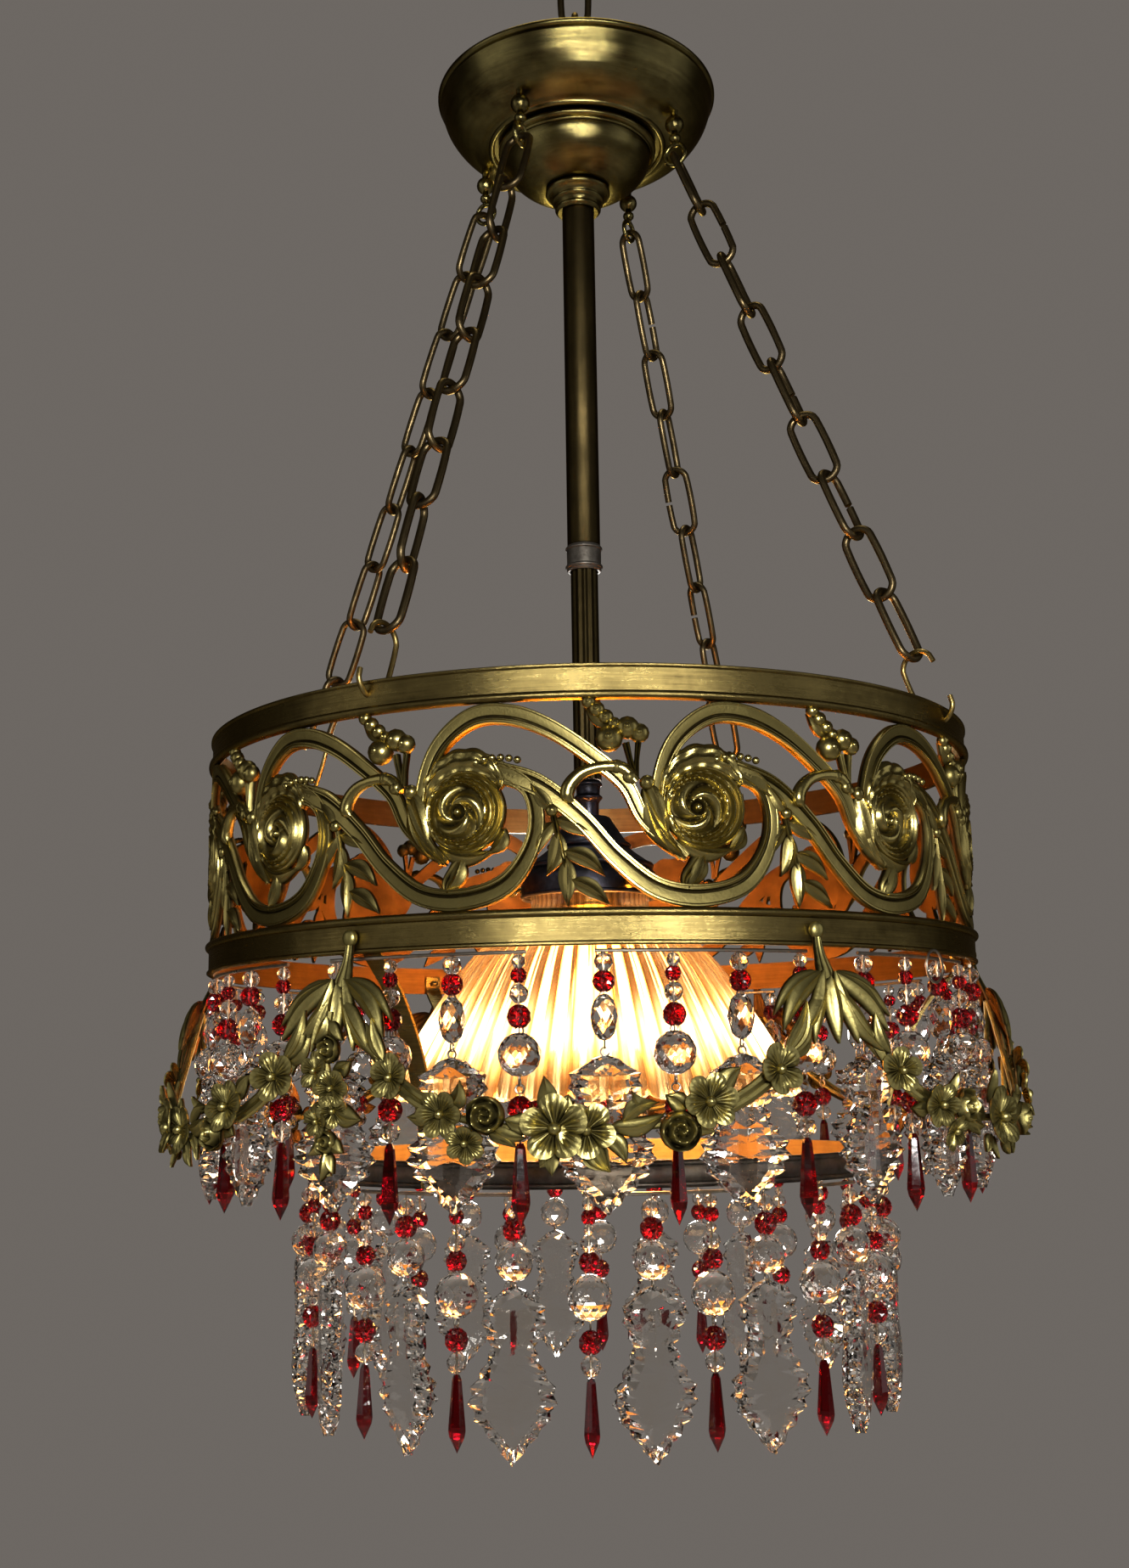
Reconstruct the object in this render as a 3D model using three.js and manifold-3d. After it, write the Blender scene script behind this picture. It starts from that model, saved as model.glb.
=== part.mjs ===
// A hanging sanctuary lamp: a brass ceiling canopy, a stem with a lit glass shade, and an openwork
// drum on four chains, dressed with cast flower garlands and two tiers of crystal strands.
//
// Millimetres, +Z up. The origin is where the ceiling hook bears, inside the top of the upper
// suspension link. Azimuths are in degrees, 0 at the front (-Y) and 90 at +X.
import * as THREE from "three";
import { mergeVertices } from "three/addons/utils/BufferGeometryUtils.js";
import Module from "manifold-3d";

const wasm = await Module();
wasm.setup();

// ---- Driving dimensions -------------------------------------------------------------------------
const GAP = 0.3; // between pieces that touch on the bench

const LINK = { length: 41.5, width: 20, wire: 3.8 };
const LINK_REACH = LINK.length / 2 - LINK.wire / 2; // link centre to the middle of its end wire
const CANOPY_RIM_Z = -82;
const CANOPY = { rimRadius: 77.5, depth: 30, sheet: 1.4, hookRadius: 60 };
const CUP = { radius: 43.5, height: 24.5, sheet: 1.2 };
const COLLAR = { radius: 14, height: 13 };
const HOOK_AZIMUTHS = [-30, 60, 150, 240];

const STEM = { radius: 8.7, wall: 1.3, endZ: -340 };
const SLEEVE = { radius: 10, height: 14 };
const REEDED = { radius: 7.2, bore: 3.2, reeds: 10, endZ: -466 };
const COUPLING = { radius: 7.5, height: 19 };

const DRUM = { radius: 190, topZ: -451, bandHeight: 15, friezeHeight: 85, sheet: 2.4 };
const LOWER_BAND_TOP_Z = DRUM.topZ - DRUM.bandHeight - DRUM.friezeHeight;
const DRUM_BOTTOM_Z = LOWER_BAND_TOP_Z - DRUM.bandHeight;
const SCROLLS = 12;
const CHAIN_HOLE = { radius: 4.4, drop: 7 };

const RING = { radius: 141.5, sheet: 2.4, topZ: -652, height: 11.5 };
const BRACKET = { width: 9, thickness: 2.2, azimuths: [-30, 90, 210] };

const GALLERY = { topZ: -483, height: 42, radius: 36, sheet: 1.4 };
const SHADE = { neckZ: -521, neckRadius: 31, rimRadius: 105, height: 108, glass: 3 };
const BULB = { radius: 30, capRadius: 13.2 };

const UPPER_TIER = { strands: 40, perNode: 4, radius: 187.4, firstAzimuth: 0 };
const LOWER_TIER = { strands: 32, perNode: 4, radius: 140.2, firstAzimuth: -2.8 };
const CARRIER = 1.8; // thickness of the wire that joins one node's strands

const SWAGS = 6;
const SWAG = { topZ: -580, sagZ: -637, sagPower: 3.2, radius: 199, flare: 7, thickness: 5 };

// ---- Materials ----------------------------------------------------------------------------------
const finish = (color, roughness, metalness, extra = {}) =>
  new THREE.MeshStandardMaterial({ color, roughness, metalness, ...extra });
const agedBrass = finish(0x8a7a3a, 0.35, 1);
const spunBrass = finish(0x7a6428, 0.28, 1);
const darkBrass = finish(0x4c4022, 0.42, 1);
const castBrass = finish(0x8c8348, 0.4, 1);
const bronze = finish(0x2c2a2a, 0.4, 1);
const clearGlass = finish(0xf4efe2, 0.05, 0, { transparent: true, opacity: 0.4 });
const litGlass = finish(0xffe9bd, 0.3, 0, { emissive: 0xffc46a });
const cappedTin = finish(0xb9b4a4, 0.35, 1);

// ---- Helpers ------------------------------------------------------------------------------------
const radians = THREE.MathUtils.degToRad;
const lamp = new THREE.Group();

function add(name, geometry, material) {
  const mesh = new THREE.Mesh(geometry, material);
  mesh.name = name;
  lamp.add(mesh);
  return mesh;
}

// A geometry as a solid that can be joined and cut.
function solidOf(geometry) {
  const bare = new THREE.BufferGeometry();
  bare.setAttribute("position", geometry.getAttribute("position"));
  bare.setIndex(geometry.index);
  const merged = mergeVertices(bare, 1e-4);
  return new wasm.Manifold(
    new wasm.Mesh({
      numProp: 3,
      vertProperties: merged.attributes.position.array,
      triVerts: new Uint32Array(merged.index.array),
    }),
  );
}

function geometryOf(solid) {
  const mesh = solid.getMesh();
  const position = new THREE.BufferAttribute(new Float32Array(mesh.vertProperties), 3);
  const geometry = new THREE.BufferGeometry();
  geometry.setAttribute("position", position);
  geometry.setIndex(new THREE.BufferAttribute(mesh.triVerts, 1));
  return geometry;
}

const join = (geometries) =>
  geometryOf(geometries.map(solidOf).reduce((whole, piece) => whole.add(piece)));

const cut = (body, tools) =>
  geometryOf(tools.map(solidOf).reduce((left, tool) => left.subtract(tool), solidOf(body)));

// A turned piece: the profile's [radius, z] points go round the Z axis.
function turned(profile, segments) {
  const points = profile.map(([radius, z]) => new THREE.Vector2(radius, z));
  if (THREE.ShapeUtils.area(points) < 0) points.reverse();
  const onAxis = points.some((point) => point.x === 0);
  if (!onAxis) points.push(points[0].clone());
  while (onAxis && points[0].x !== 0) points.push(points.shift());
  if (onAxis && points[1].x === 0) points.push(points.shift());
  return new THREE.LatheGeometry(points, segments).rotateX(Math.PI / 2);
}

// The wall of a spun shell: the outer profile, and the same profile moved inward by its sheet.
function spunShell(outer, sheet, segments) {
  const inner = outer.map(([radius, z]) => [radius - sheet, z + sheet]);
  inner[0][1] = outer[0][1];
  return turned([...outer, ...inner.reverse()], segments);
}

const rod = (radius, low, high, sides) =>
  turned([[0, low], [radius, low], [radius, high], [0, high]], sides);

const polar = (radius, azimuth, z) =>
  new THREE.Vector3(radius * Math.sin(radians(azimuth)), -radius * Math.cos(radians(azimuth)), z);

// A ring or oval link in the XZ plane, its long axis along Z.
function oval(length, width, wire, steps = 8, sides = 3) {
  const link = new THREE.TorusGeometry((width - wire) / 2, -wire / 2, sides, steps);
  link.rotateZ(Math.PI / steps);
  const position = link.attributes.position;
  for (let i = 0; i < position.count; i++) {
    const y = position.getY(i);
    position.setY(i, y + (Math.sign(y) * (length - width)) / 2);
  }
  return link.rotateX(Math.PI / 2);
}

// A bar of square or round section swept along a list of points.
function swept(points, section, steps) {
  const curve = new THREE.CatmullRomCurve3(points);
  const options = { extrudePath: curve, steps, bevelEnabled: false };
  return new THREE.ExtrudeGeometry(section, options);
}

function rectangle(width, height) {
  const corners = [[-1, -1], [1, -1], [1, 1], [-1, 1]];
  return new THREE.Shape(
    corners.map(([x, y]) => new THREE.Vector2((x * width) / 2, (y * height) / 2)),
  );
}

function polygon(radius, sides) {
  const corner = (i) => (2 * Math.PI * (i + 0.5)) / sides;
  return new THREE.Shape(
    Array.from({ length: sides }, (_, i) =>
      new THREE.Vector2(radius * Math.cos(corner(i)), radius * Math.sin(corner(i)))),
  );
}

// ---- Suspension: two links of the ceiling chain and the loop on the stem --------------------------
const upperLinkZ = LINK.wire / 2 - LINK_REACH;
const lowerLinkZ = upperLinkZ - 2 * LINK_REACH + LINK.wire + 1;
const loopRadius = 9;
const loopWire = 4.4;
const loopZ = lowerLinkZ - LINK_REACH + LINK.wire / 2 + loopWire / 2 - loopRadius + 0.8;

function addSuspension() {
  const upper = oval(LINK.length, LINK.width, LINK.wire, 12, 6);
  add("suspension_link_upper", upper.translate(0, 0, upperLinkZ), darkBrass);
  const lower = oval(LINK.length, LINK.width, LINK.wire, 12, 6).rotateZ(Math.PI / 2);
  add("suspension_link_lower", lower.translate(0, 0, lowerLinkZ), darkBrass);
  const loop = oval(2 * loopRadius + loopWire, 2 * loopRadius + loopWire, loopWire, 12, 6);
  const shankTop = loopZ - loopRadius + 1;
  const shank = turned(
    [
      [0, shankTop],
      [5, shankTop],
      [7, shankTop - 4],
      [7, shankTop - 10],
      [4.5, shankTop - 11],
      [4.5, CANOPY_RIM_Z - CANOPY.depth + GAP + CANOPY.sheet],
      [0, CANOPY_RIM_Z - CANOPY.depth + GAP + CANOPY.sheet],
    ],
    12,
  );
  add("hanging_loop", join([loop.translate(0, 0, loopZ), shank]), darkBrass);
}

// ---- Canopy ---------------------------------------------------------------------------------------
const canopyFloorZ = CANOPY_RIM_Z - CANOPY.depth;
const cupBottomZ = canopyFloorZ - CUP.height;

function addCanopy() {
  const stemHole = 6;
  const rim = CANOPY.rimRadius;
  const bowl = [
    [rim, 0],
    [rim, -3],
    [rim - 2.8, -5.5],
    [rim - 5, -14],
    [rim - 12, -23],
    [rim - 28, -CANOPY.depth],
    [stemHole, -CANOPY.depth],
  ].map(([radius, z]) => [radius, z + CANOPY_RIM_Z]);
  const shell = spunShell(bowl, CANOPY.sheet, 24);
  const holes = HOOK_AZIMUTHS.map((azimuth) =>
    rod(2.6, canopyFloorZ - 5, CANOPY_RIM_Z, 6).translate(...polar(CANOPY.hookRadius, azimuth, 0)),
  );
  add("ceiling_canopy", cut(shell, holes), spunBrass);

  const cup = [
    [CUP.radius, -GAP],
    [CUP.radius, -4],
    [CUP.radius - 3, -10],
    [CUP.radius - 9, -19],
    [CUP.radius - 23, -CUP.height],
    [STEM.radius + 2, -CUP.height],
  ].map(([radius, z]) => [radius, z + canopyFloorZ]);
  add("canopy_cup", spunShell(cup, CUP.sheet, 20), spunBrass);

  const bore = STEM.radius + GAP;
  const collar = [
    [bore, 0],
    [COLLAR.radius + 4, 0],
    [COLLAR.radius + 4, -2],
    [COLLAR.radius, -4],
    [COLLAR.radius, -8],
    [COLLAR.radius - 2, -COLLAR.height],
    [bore, -COLLAR.height],
  ].map(([radius, z]) => [radius, z + cupBottomZ - GAP]);
  add("canopy_collar", turned(collar, 16), spunBrass);
}

// A screw hook: nut inside the canopy, ball and bead below it, and the eye that carries a chain.
const HOOK = { ballZ: 34, beadZ: 41.5, eyeZ: 52, eyeSize: 14, wire: 2.6 };

function addHooks() {
  HOOK_AZIMUTHS.forEach((azimuth, i) => {
    const nut = { top: -15, height: 4.5, radius: 5 };
    const shank = turned(
      [
        [0, nut.top],
        [nut.radius, nut.top],
        [nut.radius, nut.top - nut.height],
        [2, nut.top - nut.height],
        [2, -HOOK.ballZ + 3.2],
        [4, -HOOK.ballZ],
        [1.6, -HOOK.ballZ - 4],
        [2.8, -HOOK.beadZ],
        [0, -HOOK.eyeZ + HOOK.eyeSize / 2 - 3.4],
      ],
      6,
    );
    const eye = oval(HOOK.eyeSize, HOOK.eyeSize, HOOK.wire).rotateZ(Math.PI / 2);
    eye.translate(0, 0, -HOOK.eyeZ);
    const hook = join([shank, eye]).translate(0, -CANOPY.hookRadius, CANOPY_RIM_Z);
    add(`canopy_hook_${i + 1}`, hook.rotateZ(radians(azimuth)), darkBrass);
  });
}

// ---- Stem -------------------------------------------------------------------------------------------
const tube = (outer, inner, low, high, sides) =>
  turned([[outer, low], [outer, high], [inner, high], [inner, low]], sides);

function addStem() {
  const stemTop = canopyFloorZ - GAP;
  const bore = STEM.radius - STEM.wall;
  add("stem_tube", tube(STEM.radius, bore, STEM.endZ, stemTop, 16), spunBrass);
  const sleeveBore = REEDED.radius + GAP;
  const sleeve = [
    [sleeveBore, 0],
    [SLEEVE.radius - 1.5, 0],
    [SLEEVE.radius, -3],
    [SLEEVE.radius, -SLEEVE.height],
    [sleeveBore, -SLEEVE.height],
  ].map(([radius, z]) => [radius, z + STEM.endZ - GAP]);
  add("stem_sleeve", turned(sleeve, 16), darkBrass);

  const outline = new THREE.Shape(
    Array.from({ length: 2 * REEDED.reeds }, (_, i) => {
      const radius = i % 2 ? REEDED.radius - 1.1 : REEDED.radius;
      const angle = (Math.PI * i) / REEDED.reeds;
      return new THREE.Vector2(radius * Math.cos(angle), radius * Math.sin(angle));
    }),
  );
  const wireWay = new THREE.Path().absarc(0, 0, REEDED.bore, 0, 2 * Math.PI, true);
  outline.holes.push(wireWay);
  const insertedLength = 30; // the reeded tube runs up inside the plain one
  const length = STEM.endZ + insertedLength - REEDED.endZ;
  const options = { depth: length, bevelEnabled: false, curveSegments: 5 };
  const reeded = new THREE.ExtrudeGeometry(outline, options);
  add("reeded_tube", reeded.translate(0, 0, REEDED.endZ), agedBrass);

  const coupling = [
    [REEDED.bore, 0],
    [COUPLING.radius - 1.5, 0],
    [COUPLING.radius, -3],
    [COUPLING.radius, -9],
    [COUPLING.radius - 2, -COUPLING.height + 3],
    [COUPLING.radius - 2, -COUPLING.height],
    [REEDED.bore, -COUPLING.height],
  ].map(([radius, z]) => [radius, z + REEDED.endZ - GAP]);
  add("stem_coupling", turned(coupling, 12), darkBrass);
}

// ---- Light: gallery, lamp holder, screws, bulb and shade --------------------------------------------
function addLight() {
  const domeTop = REEDED.endZ - COUPLING.height - 2 * GAP;
  const skirtZ = domeTop - GALLERY.height;
  const dome = [
    [GALLERY.radius, skirtZ],
    [GALLERY.radius, skirtZ + 10],
    [GALLERY.radius - 5, skirtZ + 18],
    [GALLERY.radius - 20, skirtZ + 32],
    [GALLERY.radius - 25, domeTop],
    [REEDED.bore, domeTop],
  ];
  const inside = dome.map(([radius, z]) => [radius - GALLERY.sheet, z - GALLERY.sheet]);
  inside[0][1] = skirtZ;
  inside[inside.length - 1][0] = REEDED.bore;
  const shell = turned([...dome, ...inside.reverse()], 18);
  const screwZ = skirtZ + 5;
  const screwHole = () =>
    rod(1.9, GALLERY.radius - 6, GALLERY.radius + 3, 6).rotateX(Math.PI / 2);
  const screwAzimuths = [30, 150, 270];
  const holes = screwAzimuths.map((azimuth) =>
    screwHole().translate(0, 0, screwZ).rotateZ(radians(azimuth)),
  );
  add("shade_gallery", cut(shell, holes), bronze);

  screwAzimuths.forEach((azimuth, i) => {
    const tip = GALLERY.radius - 2.4;
    const screw = turned(
      [
        [0, tip],
        [1.5, tip],
        [1.5, GALLERY.radius + 1.5],
        [4, GALLERY.radius + 1.5],
        [4, GALLERY.radius + 6],
        [0, GALLERY.radius + 6],
      ],
      6,
    );
    screw.rotateX(Math.PI / 2).translate(0, 0, screwZ).rotateZ(radians(azimuth));
    add(`gallery_screw_${i + 1}`, screw, darkBrass);
  });

  const holderTop = domeTop - GALLERY.sheet - GAP;
  const holder = [
    [0, holderTop],
    [8, holderTop],
    [15, holderTop - 14],
    [17, holderTop - 18],
    [17, holderTop - 46],
    [BULB.capRadius + 1.3, holderTop - 46],
    [BULB.capRadius + 1.3, holderTop - 20],
    [0, holderTop - 20],
  ];
  add("lamp_holder", turned(holder, 16), bronze);

  const capTop = holderTop - 21.5;
  const cap = [
    [0, capTop],
    [5, capTop],
    [BULB.capRadius, capTop - 5],
    [BULB.capRadius, capTop - 27],
    [0, capTop - 27],
  ];
  add("bulb_cap", turned(cap, 12), cappedTin);
  const glassTop = capTop - 27 - GAP;
  const glass = [
    [0, 0],
    [12.6, 0],
    [24, -24],
    [BULB.radius, -42],
    [BULB.radius - 6, -60],
    [0, -71],
  ].map(([radius, z]) => [radius, z + glassTop]);
  add("light_bulb", turned(glass, 12), litGlass);

  const rim = SHADE.rimRadius;
  const outer = [
    [rim, -SHADE.height],
    [rim - 5, -SHADE.height + 13],
    [rim - 22, -SHADE.height + 40],
    [rim - 41, -SHADE.height + 68],
    [rim - 62, -SHADE.height + 88],
    [SHADE.neckRadius, -14],
    [SHADE.neckRadius, 0],
  ].map(([radius, z]) => [radius, z + SHADE.neckZ]);
  const inner = outer.map(([radius, z]) => [radius - SHADE.glass, z - SHADE.glass]);
  inner[0][1] = outer[0][1];
  inner[inner.length - 1][1] = SHADE.neckZ;
  add("glass_shade", turned([...outer, ...inner.reverse()], 24), clearGlass);
}

// ---- Drum: two bands and the openwork frieze between them --------------------------------------------
const BAND_SEGMENTS = 36;

// A flat band with a bead along one edge, whose outer face stands at the drum's radius.
function band(topZ, beadAtTop) {
  const { radius, sheet, bandHeight } = DRUM;
  const bead = 4.4;
  const profile = [
    [radius - sheet, 0],
    [radius - sheet, -bandHeight],
    [radius + 2, -bandHeight],
    [radius, -bandHeight + bead],
    [radius, 0],
  ];
  const flipped = profile.map(([r, z]) => [r, -bandHeight - z]);
  const section = beadAtTop ? flipped : profile;
  return turned(section.map(([r, z]) => [r, z + topZ]), BAND_SEGMENTS);
}

// A flat ribbon along 2D points, of the given width and thickness, bent round the drum. The
// points are millimetres along the circumference and up from the lower band.
function bentRibbon(points, width, thickness, turn) {
  const curve = new THREE.CatmullRomCurve3(points.map(([u, v]) => new THREE.Vector3(u, v, 0)));
  const count = points.length;
  const sides = [[], []];
  for (let i = 0; i < count; i++) {
    const middle = curve.getPoint(i / (count - 1));
    const along = curve.getTangent(i / (count - 1));
    for (const [side, sign] of [[0, 1], [1, -1]]) {
      const x = middle.x - (sign * along.y * width) / 2;
      const y = middle.y + (sign * along.x * width) / 2;
      sides[side].push(new THREE.Vector2(x, y));
    }
  }
  const outline = new THREE.Shape([...sides[0], ...sides[1].reverse()]);
  const ribbon = new THREE.ExtrudeGeometry(outline, { depth: thickness, bevelEnabled: false });
  const position = ribbon.attributes.position;
  const base = DRUM.radius - DRUM.sheet;
  for (let i = 0; i < position.count; i++) {
    const azimuth = position.getX(i) / DRUM.radius;
    const radius = base + position.getZ(i);
    const z = LOWER_BAND_TOP_Z + GAP + position.getY(i);
    position.setXYZ(i, radius * Math.sin(azimuth), -radius * Math.cos(azimuth), z);
  }
  return ribbon.rotateZ(radians(turn));
}

// One repeat of the running scroll, centred on its rosette at (0, SCROLL_EYE).
const SCROLL_EYE = 40.5;
const REPEAT = (2 * Math.PI * DRUM.radius) / SCROLLS;

// The scroll rises beside one rosette, arches over it, runs down under the next and winds in.
const ARCH = [[-22, 14], [-26, 40], [-17, 67], [8, 79.5], [32, 72], [50, 51], [66, 23], [82, 8]];
const SPIRAL = [[-90, 36], [-45, 31], [10, 25], [70, 21], [130, 19], [200, 17], [265, 12]];

function scrollBars(turn) {
  const spiral = SPIRAL.map(([angle, radius]) => [
    REPEAT + radius * Math.cos(radians(angle)),
    SCROLL_EYE + radius * Math.sin(radians(angle)),
  ]);
  const eye = rod(13, DRUM.radius - 3, DRUM.radius + 1.6, 6).rotateX(Math.PI / 2);
  eye.translate(0, 0, LOWER_BAND_TOP_Z + SCROLL_EYE).rotateZ(radians(turn));
  return [bentRibbon([...ARCH, ...spiral], 8, 3, turn), eye];
}

function addDrum() {
  const upper = band(DRUM.topZ, false);
  const holes = HOOK_AZIMUTHS.map((azimuth) =>
    rod(CHAIN_HOLE.radius, DRUM.radius - 8, DRUM.radius + 8, 8)
      .rotateX(Math.PI / 2)
      .translate(0, 0, DRUM.topZ - CHAIN_HOLE.drop)
      .rotateZ(radians(azimuth)),
  );
  add("upper_rim_band", cut(upper, holes), agedBrass);
  add("lower_rim_band", band(LOWER_BAND_TOP_Z, true), agedBrass);
  const bars = [];
  for (let i = 0; i < SCROLLS; i++) bars.push(...scrollBars((360 / SCROLLS) * (i + 0.5)));
  add("scroll_frieze", join(bars), castBrass);
}

// ---- Chains -----------------------------------------------------------------------------------------
const CHAIN_LINKS = 10;
const chainTop = { radius: CANOPY.hookRadius + 0.6, z: CANOPY_RIM_Z - HOOK.eyeZ - 1.6 };
const chainFoot = { radius: DRUM.radius - DRUM.sheet / 2, z: DRUM.topZ - CHAIN_HOLE.drop + 1.5 };

function addChains() {
  const lean = Math.atan2(chainFoot.radius - chainTop.radius, chainTop.z - chainFoot.z);
  const length = Math.hypot(chainFoot.radius - chainTop.radius, chainTop.z - chainFoot.z);
  const pitch = (length - 2 * LINK_REACH) / (CHAIN_LINKS - 1);
  HOOK_AZIMUTHS.forEach((azimuth, i) => {
    const links = [];
    for (let k = 0; k < CHAIN_LINKS; k++) {
      const link = oval(LINK.length, LINK.width, LINK.wire);
      if (k % 2 === 1) link.rotateZ(Math.PI / 2);
      links.push(link.translate(0, 0, -LINK_REACH - k * pitch));
    }
    const chain = join(links).rotateX(-lean).translate(0, -chainTop.radius, chainTop.z);
    add(`chain_${i + 1}`, chain.rotateZ(radians(azimuth)), darkBrass);
  });
}

// ---- Inner ring and its brackets ----------------------------------------------------------------------
function addInnerRing() {
  const { radius, sheet, topZ, height } = RING;
  add("inner_ring", tube(radius, radius - sheet, topZ - height, topZ, BAND_SEGMENTS), agedBrass);
  const inset = DRUM.radius - DRUM.sheet - BRACKET.thickness / 2 - 3 * GAP;
  const foot = radius + BRACKET.thickness / 2 + GAP;
  const path = [
    [inset, DRUM_BOTTOM_Z + 10],
    [inset, DRUM_BOTTOM_Z + 2],
    [inset - 16, DRUM_BOTTOM_Z - 16],
    [inset - 30, DRUM_BOTTOM_Z - 40],
    [foot + 3.4, DRUM_BOTTOM_Z - 70],
    [foot + 0.2, topZ - 1],
    [foot, topZ - height],
  ].map(([r, z]) => new THREE.Vector3(0, -r, z));
  BRACKET.azimuths.forEach((azimuth, i) => {
    const strap = swept(path, rectangle(BRACKET.width, BRACKET.thickness), 8);
    add(`ring_bracket_${i + 1}`, strap.rotateZ(radians(azimuth)), agedBrass);
  });
}

// ---- Garland ------------------------------------------------------------------------------------------
// Height and radius of the garland's middle line at an angle from the middle of a swag.
function swagPoint(offset) {
  const share = Math.abs(offset / 30) ** SWAG.sagPower;
  const z = SWAG.sagZ + (SWAG.topZ - SWAG.sagZ) * share;
  return polar(SWAG.radius + SWAG.flare * (1 - share), offset, z);
}

function addGarland() {
  const drops = [];
  for (let i = 0; i < SWAGS; i++) {
    const middle = 60 * i;
    const offsets = [-29.6, -27, -24, -19, -12, 0, 12, 19, 24, 27.2];
    const festoon = swept(offsets.map(swagPoint), polygon(SWAG.thickness, 4), 12);
    // The plume: a screw boss on the lower band, widening down to where the swags part.
    const boss = rod(5, DRUM.radius + GAP, DRUM.radius + 4.5, 6).rotateX(Math.PI / 2);
    boss.translate(0, 0, DRUM_BOTTOM_Z + 5).rotateZ(radians(-30));
    const plumePath = [DRUM_BOTTOM_Z + 4, DRUM_BOTTOM_Z - 8, SWAG.topZ - 8].map((z, k) =>
      polar(DRUM.radius + 3 + 2 * k, 0, z),
    );
    const plume = swept(plumePath, rectangle(8, 4), 3).rotateZ(radians(-30));
    const swag = join([festoon, boss, plume]);
    add(`garland_swag_${i + 1}`, swag.rotateZ(radians(middle)), castBrass);
    if (i % 2 === 0) drops.push(middle - 30);
  }
  drops.forEach((azimuth, i) => {
    const top = SWAG.topZ - 9;
    const drop = turned(
      [[0, top], [7, top - 8], [10, top - 26], [9, top - 44], [4, top - 62], [0, top - 68]],
      6,
    );
    drop.scale(1, 0.6, 1).translate(0, -SWAG.radius - 7, 0).rotateZ(radians(azimuth));
    add(`garland_drop_${i + 1}`, drop, castBrass);
  });
}

// ---- Crystal strands ------------------------------------------------------------------------------------
// Each strand hangs below z = 0: a few beads and balls, then a flat pendalogue or a spear.
const PENDALOGUE = { topZ: -42, flatness: 0.27 };

function pendalogueStrand() {
  const profile = [[0, 1], [4.6, -12], [5.2, -27], [0.8, -40], [9, -51], [16.5, -80], [0, -102]];
  const strand = turned(profile, 4);
  const position = strand.attributes.position;
  for (let i = 0; i < position.count; i++) {
    const inPlate = position.getZ(i) < PENDALOGUE.topZ;
    if (inPlate) position.setY(i, position.getY(i) * PENDALOGUE.flatness);
  }
  return strand;
}

const spearStrand = () =>
  turned([[0, 1], [4.2, -12], [4.2, -28], [8.9, -45], [0.8, -57], [4.4, -66], [0, -106]], 4);

function addStrands(tier, topZ, label, phase) {
  const step = 360 / tier.strands;
  for (let node = 0; node < tier.strands / tier.perNode; node++) {
    const azimuths = Array.from({ length: tier.perNode }, (_, k) =>
      tier.firstAzimuth + step * (node * tier.perNode + k),
    );
    const strands = azimuths.map((azimuth, k) => {
      const strand = (k + phase) % 2 === 0 ? pendalogueStrand() : spearStrand();
      return strand.translate(0, -tier.radius, topZ - CARRIER).rotateZ(radians(azimuth));
    });
    const wire = azimuths.map((azimuth) => polar(tier.radius, azimuth, topZ - CARRIER / 2));
    const ends = [azimuths[0] - 1, azimuths[tier.perNode - 1] + 1].map((azimuth) =>
      polar(tier.radius, azimuth, topZ - CARRIER / 2),
    );
    const carrier = swept([ends[0], ...wire, ends[1]], rectangle(CARRIER, CARRIER), 4);
    add(`${label}_${node + 1}`, join([carrier, ...strands]), clearGlass);
  }
}

addSuspension();
addCanopy();
addHooks();
addStem();
addLight();
addDrum();
addChains();
addInnerRing();
addGarland();
addStrands(UPPER_TIER, DRUM_BOTTOM_Z - 4 * GAP, "upper_strands", 0);
addStrands(LOWER_TIER, RING.topZ - RING.height - 4 * GAP, "lower_strands", 1);

export default lamp;
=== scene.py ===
"""A hanging brass and crystal lamp: the looks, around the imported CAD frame."""
import math

import bmesh
import bpy
import numpy as np
from mathutils import Matrix, Vector


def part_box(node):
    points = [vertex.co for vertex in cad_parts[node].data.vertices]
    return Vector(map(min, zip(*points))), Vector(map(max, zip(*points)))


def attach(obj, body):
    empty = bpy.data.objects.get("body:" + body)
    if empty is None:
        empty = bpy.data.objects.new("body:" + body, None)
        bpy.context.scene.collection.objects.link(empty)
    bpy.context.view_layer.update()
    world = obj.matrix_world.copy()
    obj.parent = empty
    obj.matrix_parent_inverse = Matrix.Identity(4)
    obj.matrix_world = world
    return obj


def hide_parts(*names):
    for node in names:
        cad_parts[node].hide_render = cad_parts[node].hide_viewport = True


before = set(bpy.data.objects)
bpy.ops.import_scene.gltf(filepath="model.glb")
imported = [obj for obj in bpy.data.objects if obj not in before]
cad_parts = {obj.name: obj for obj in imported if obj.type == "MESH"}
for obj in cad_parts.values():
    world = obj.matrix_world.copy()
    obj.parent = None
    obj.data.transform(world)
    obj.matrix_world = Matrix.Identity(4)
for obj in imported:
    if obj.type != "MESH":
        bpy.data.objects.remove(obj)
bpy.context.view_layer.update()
MM = 0.001
FULL_TURN = 2 * math.pi
rng = np.random.default_rng(7)


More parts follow.
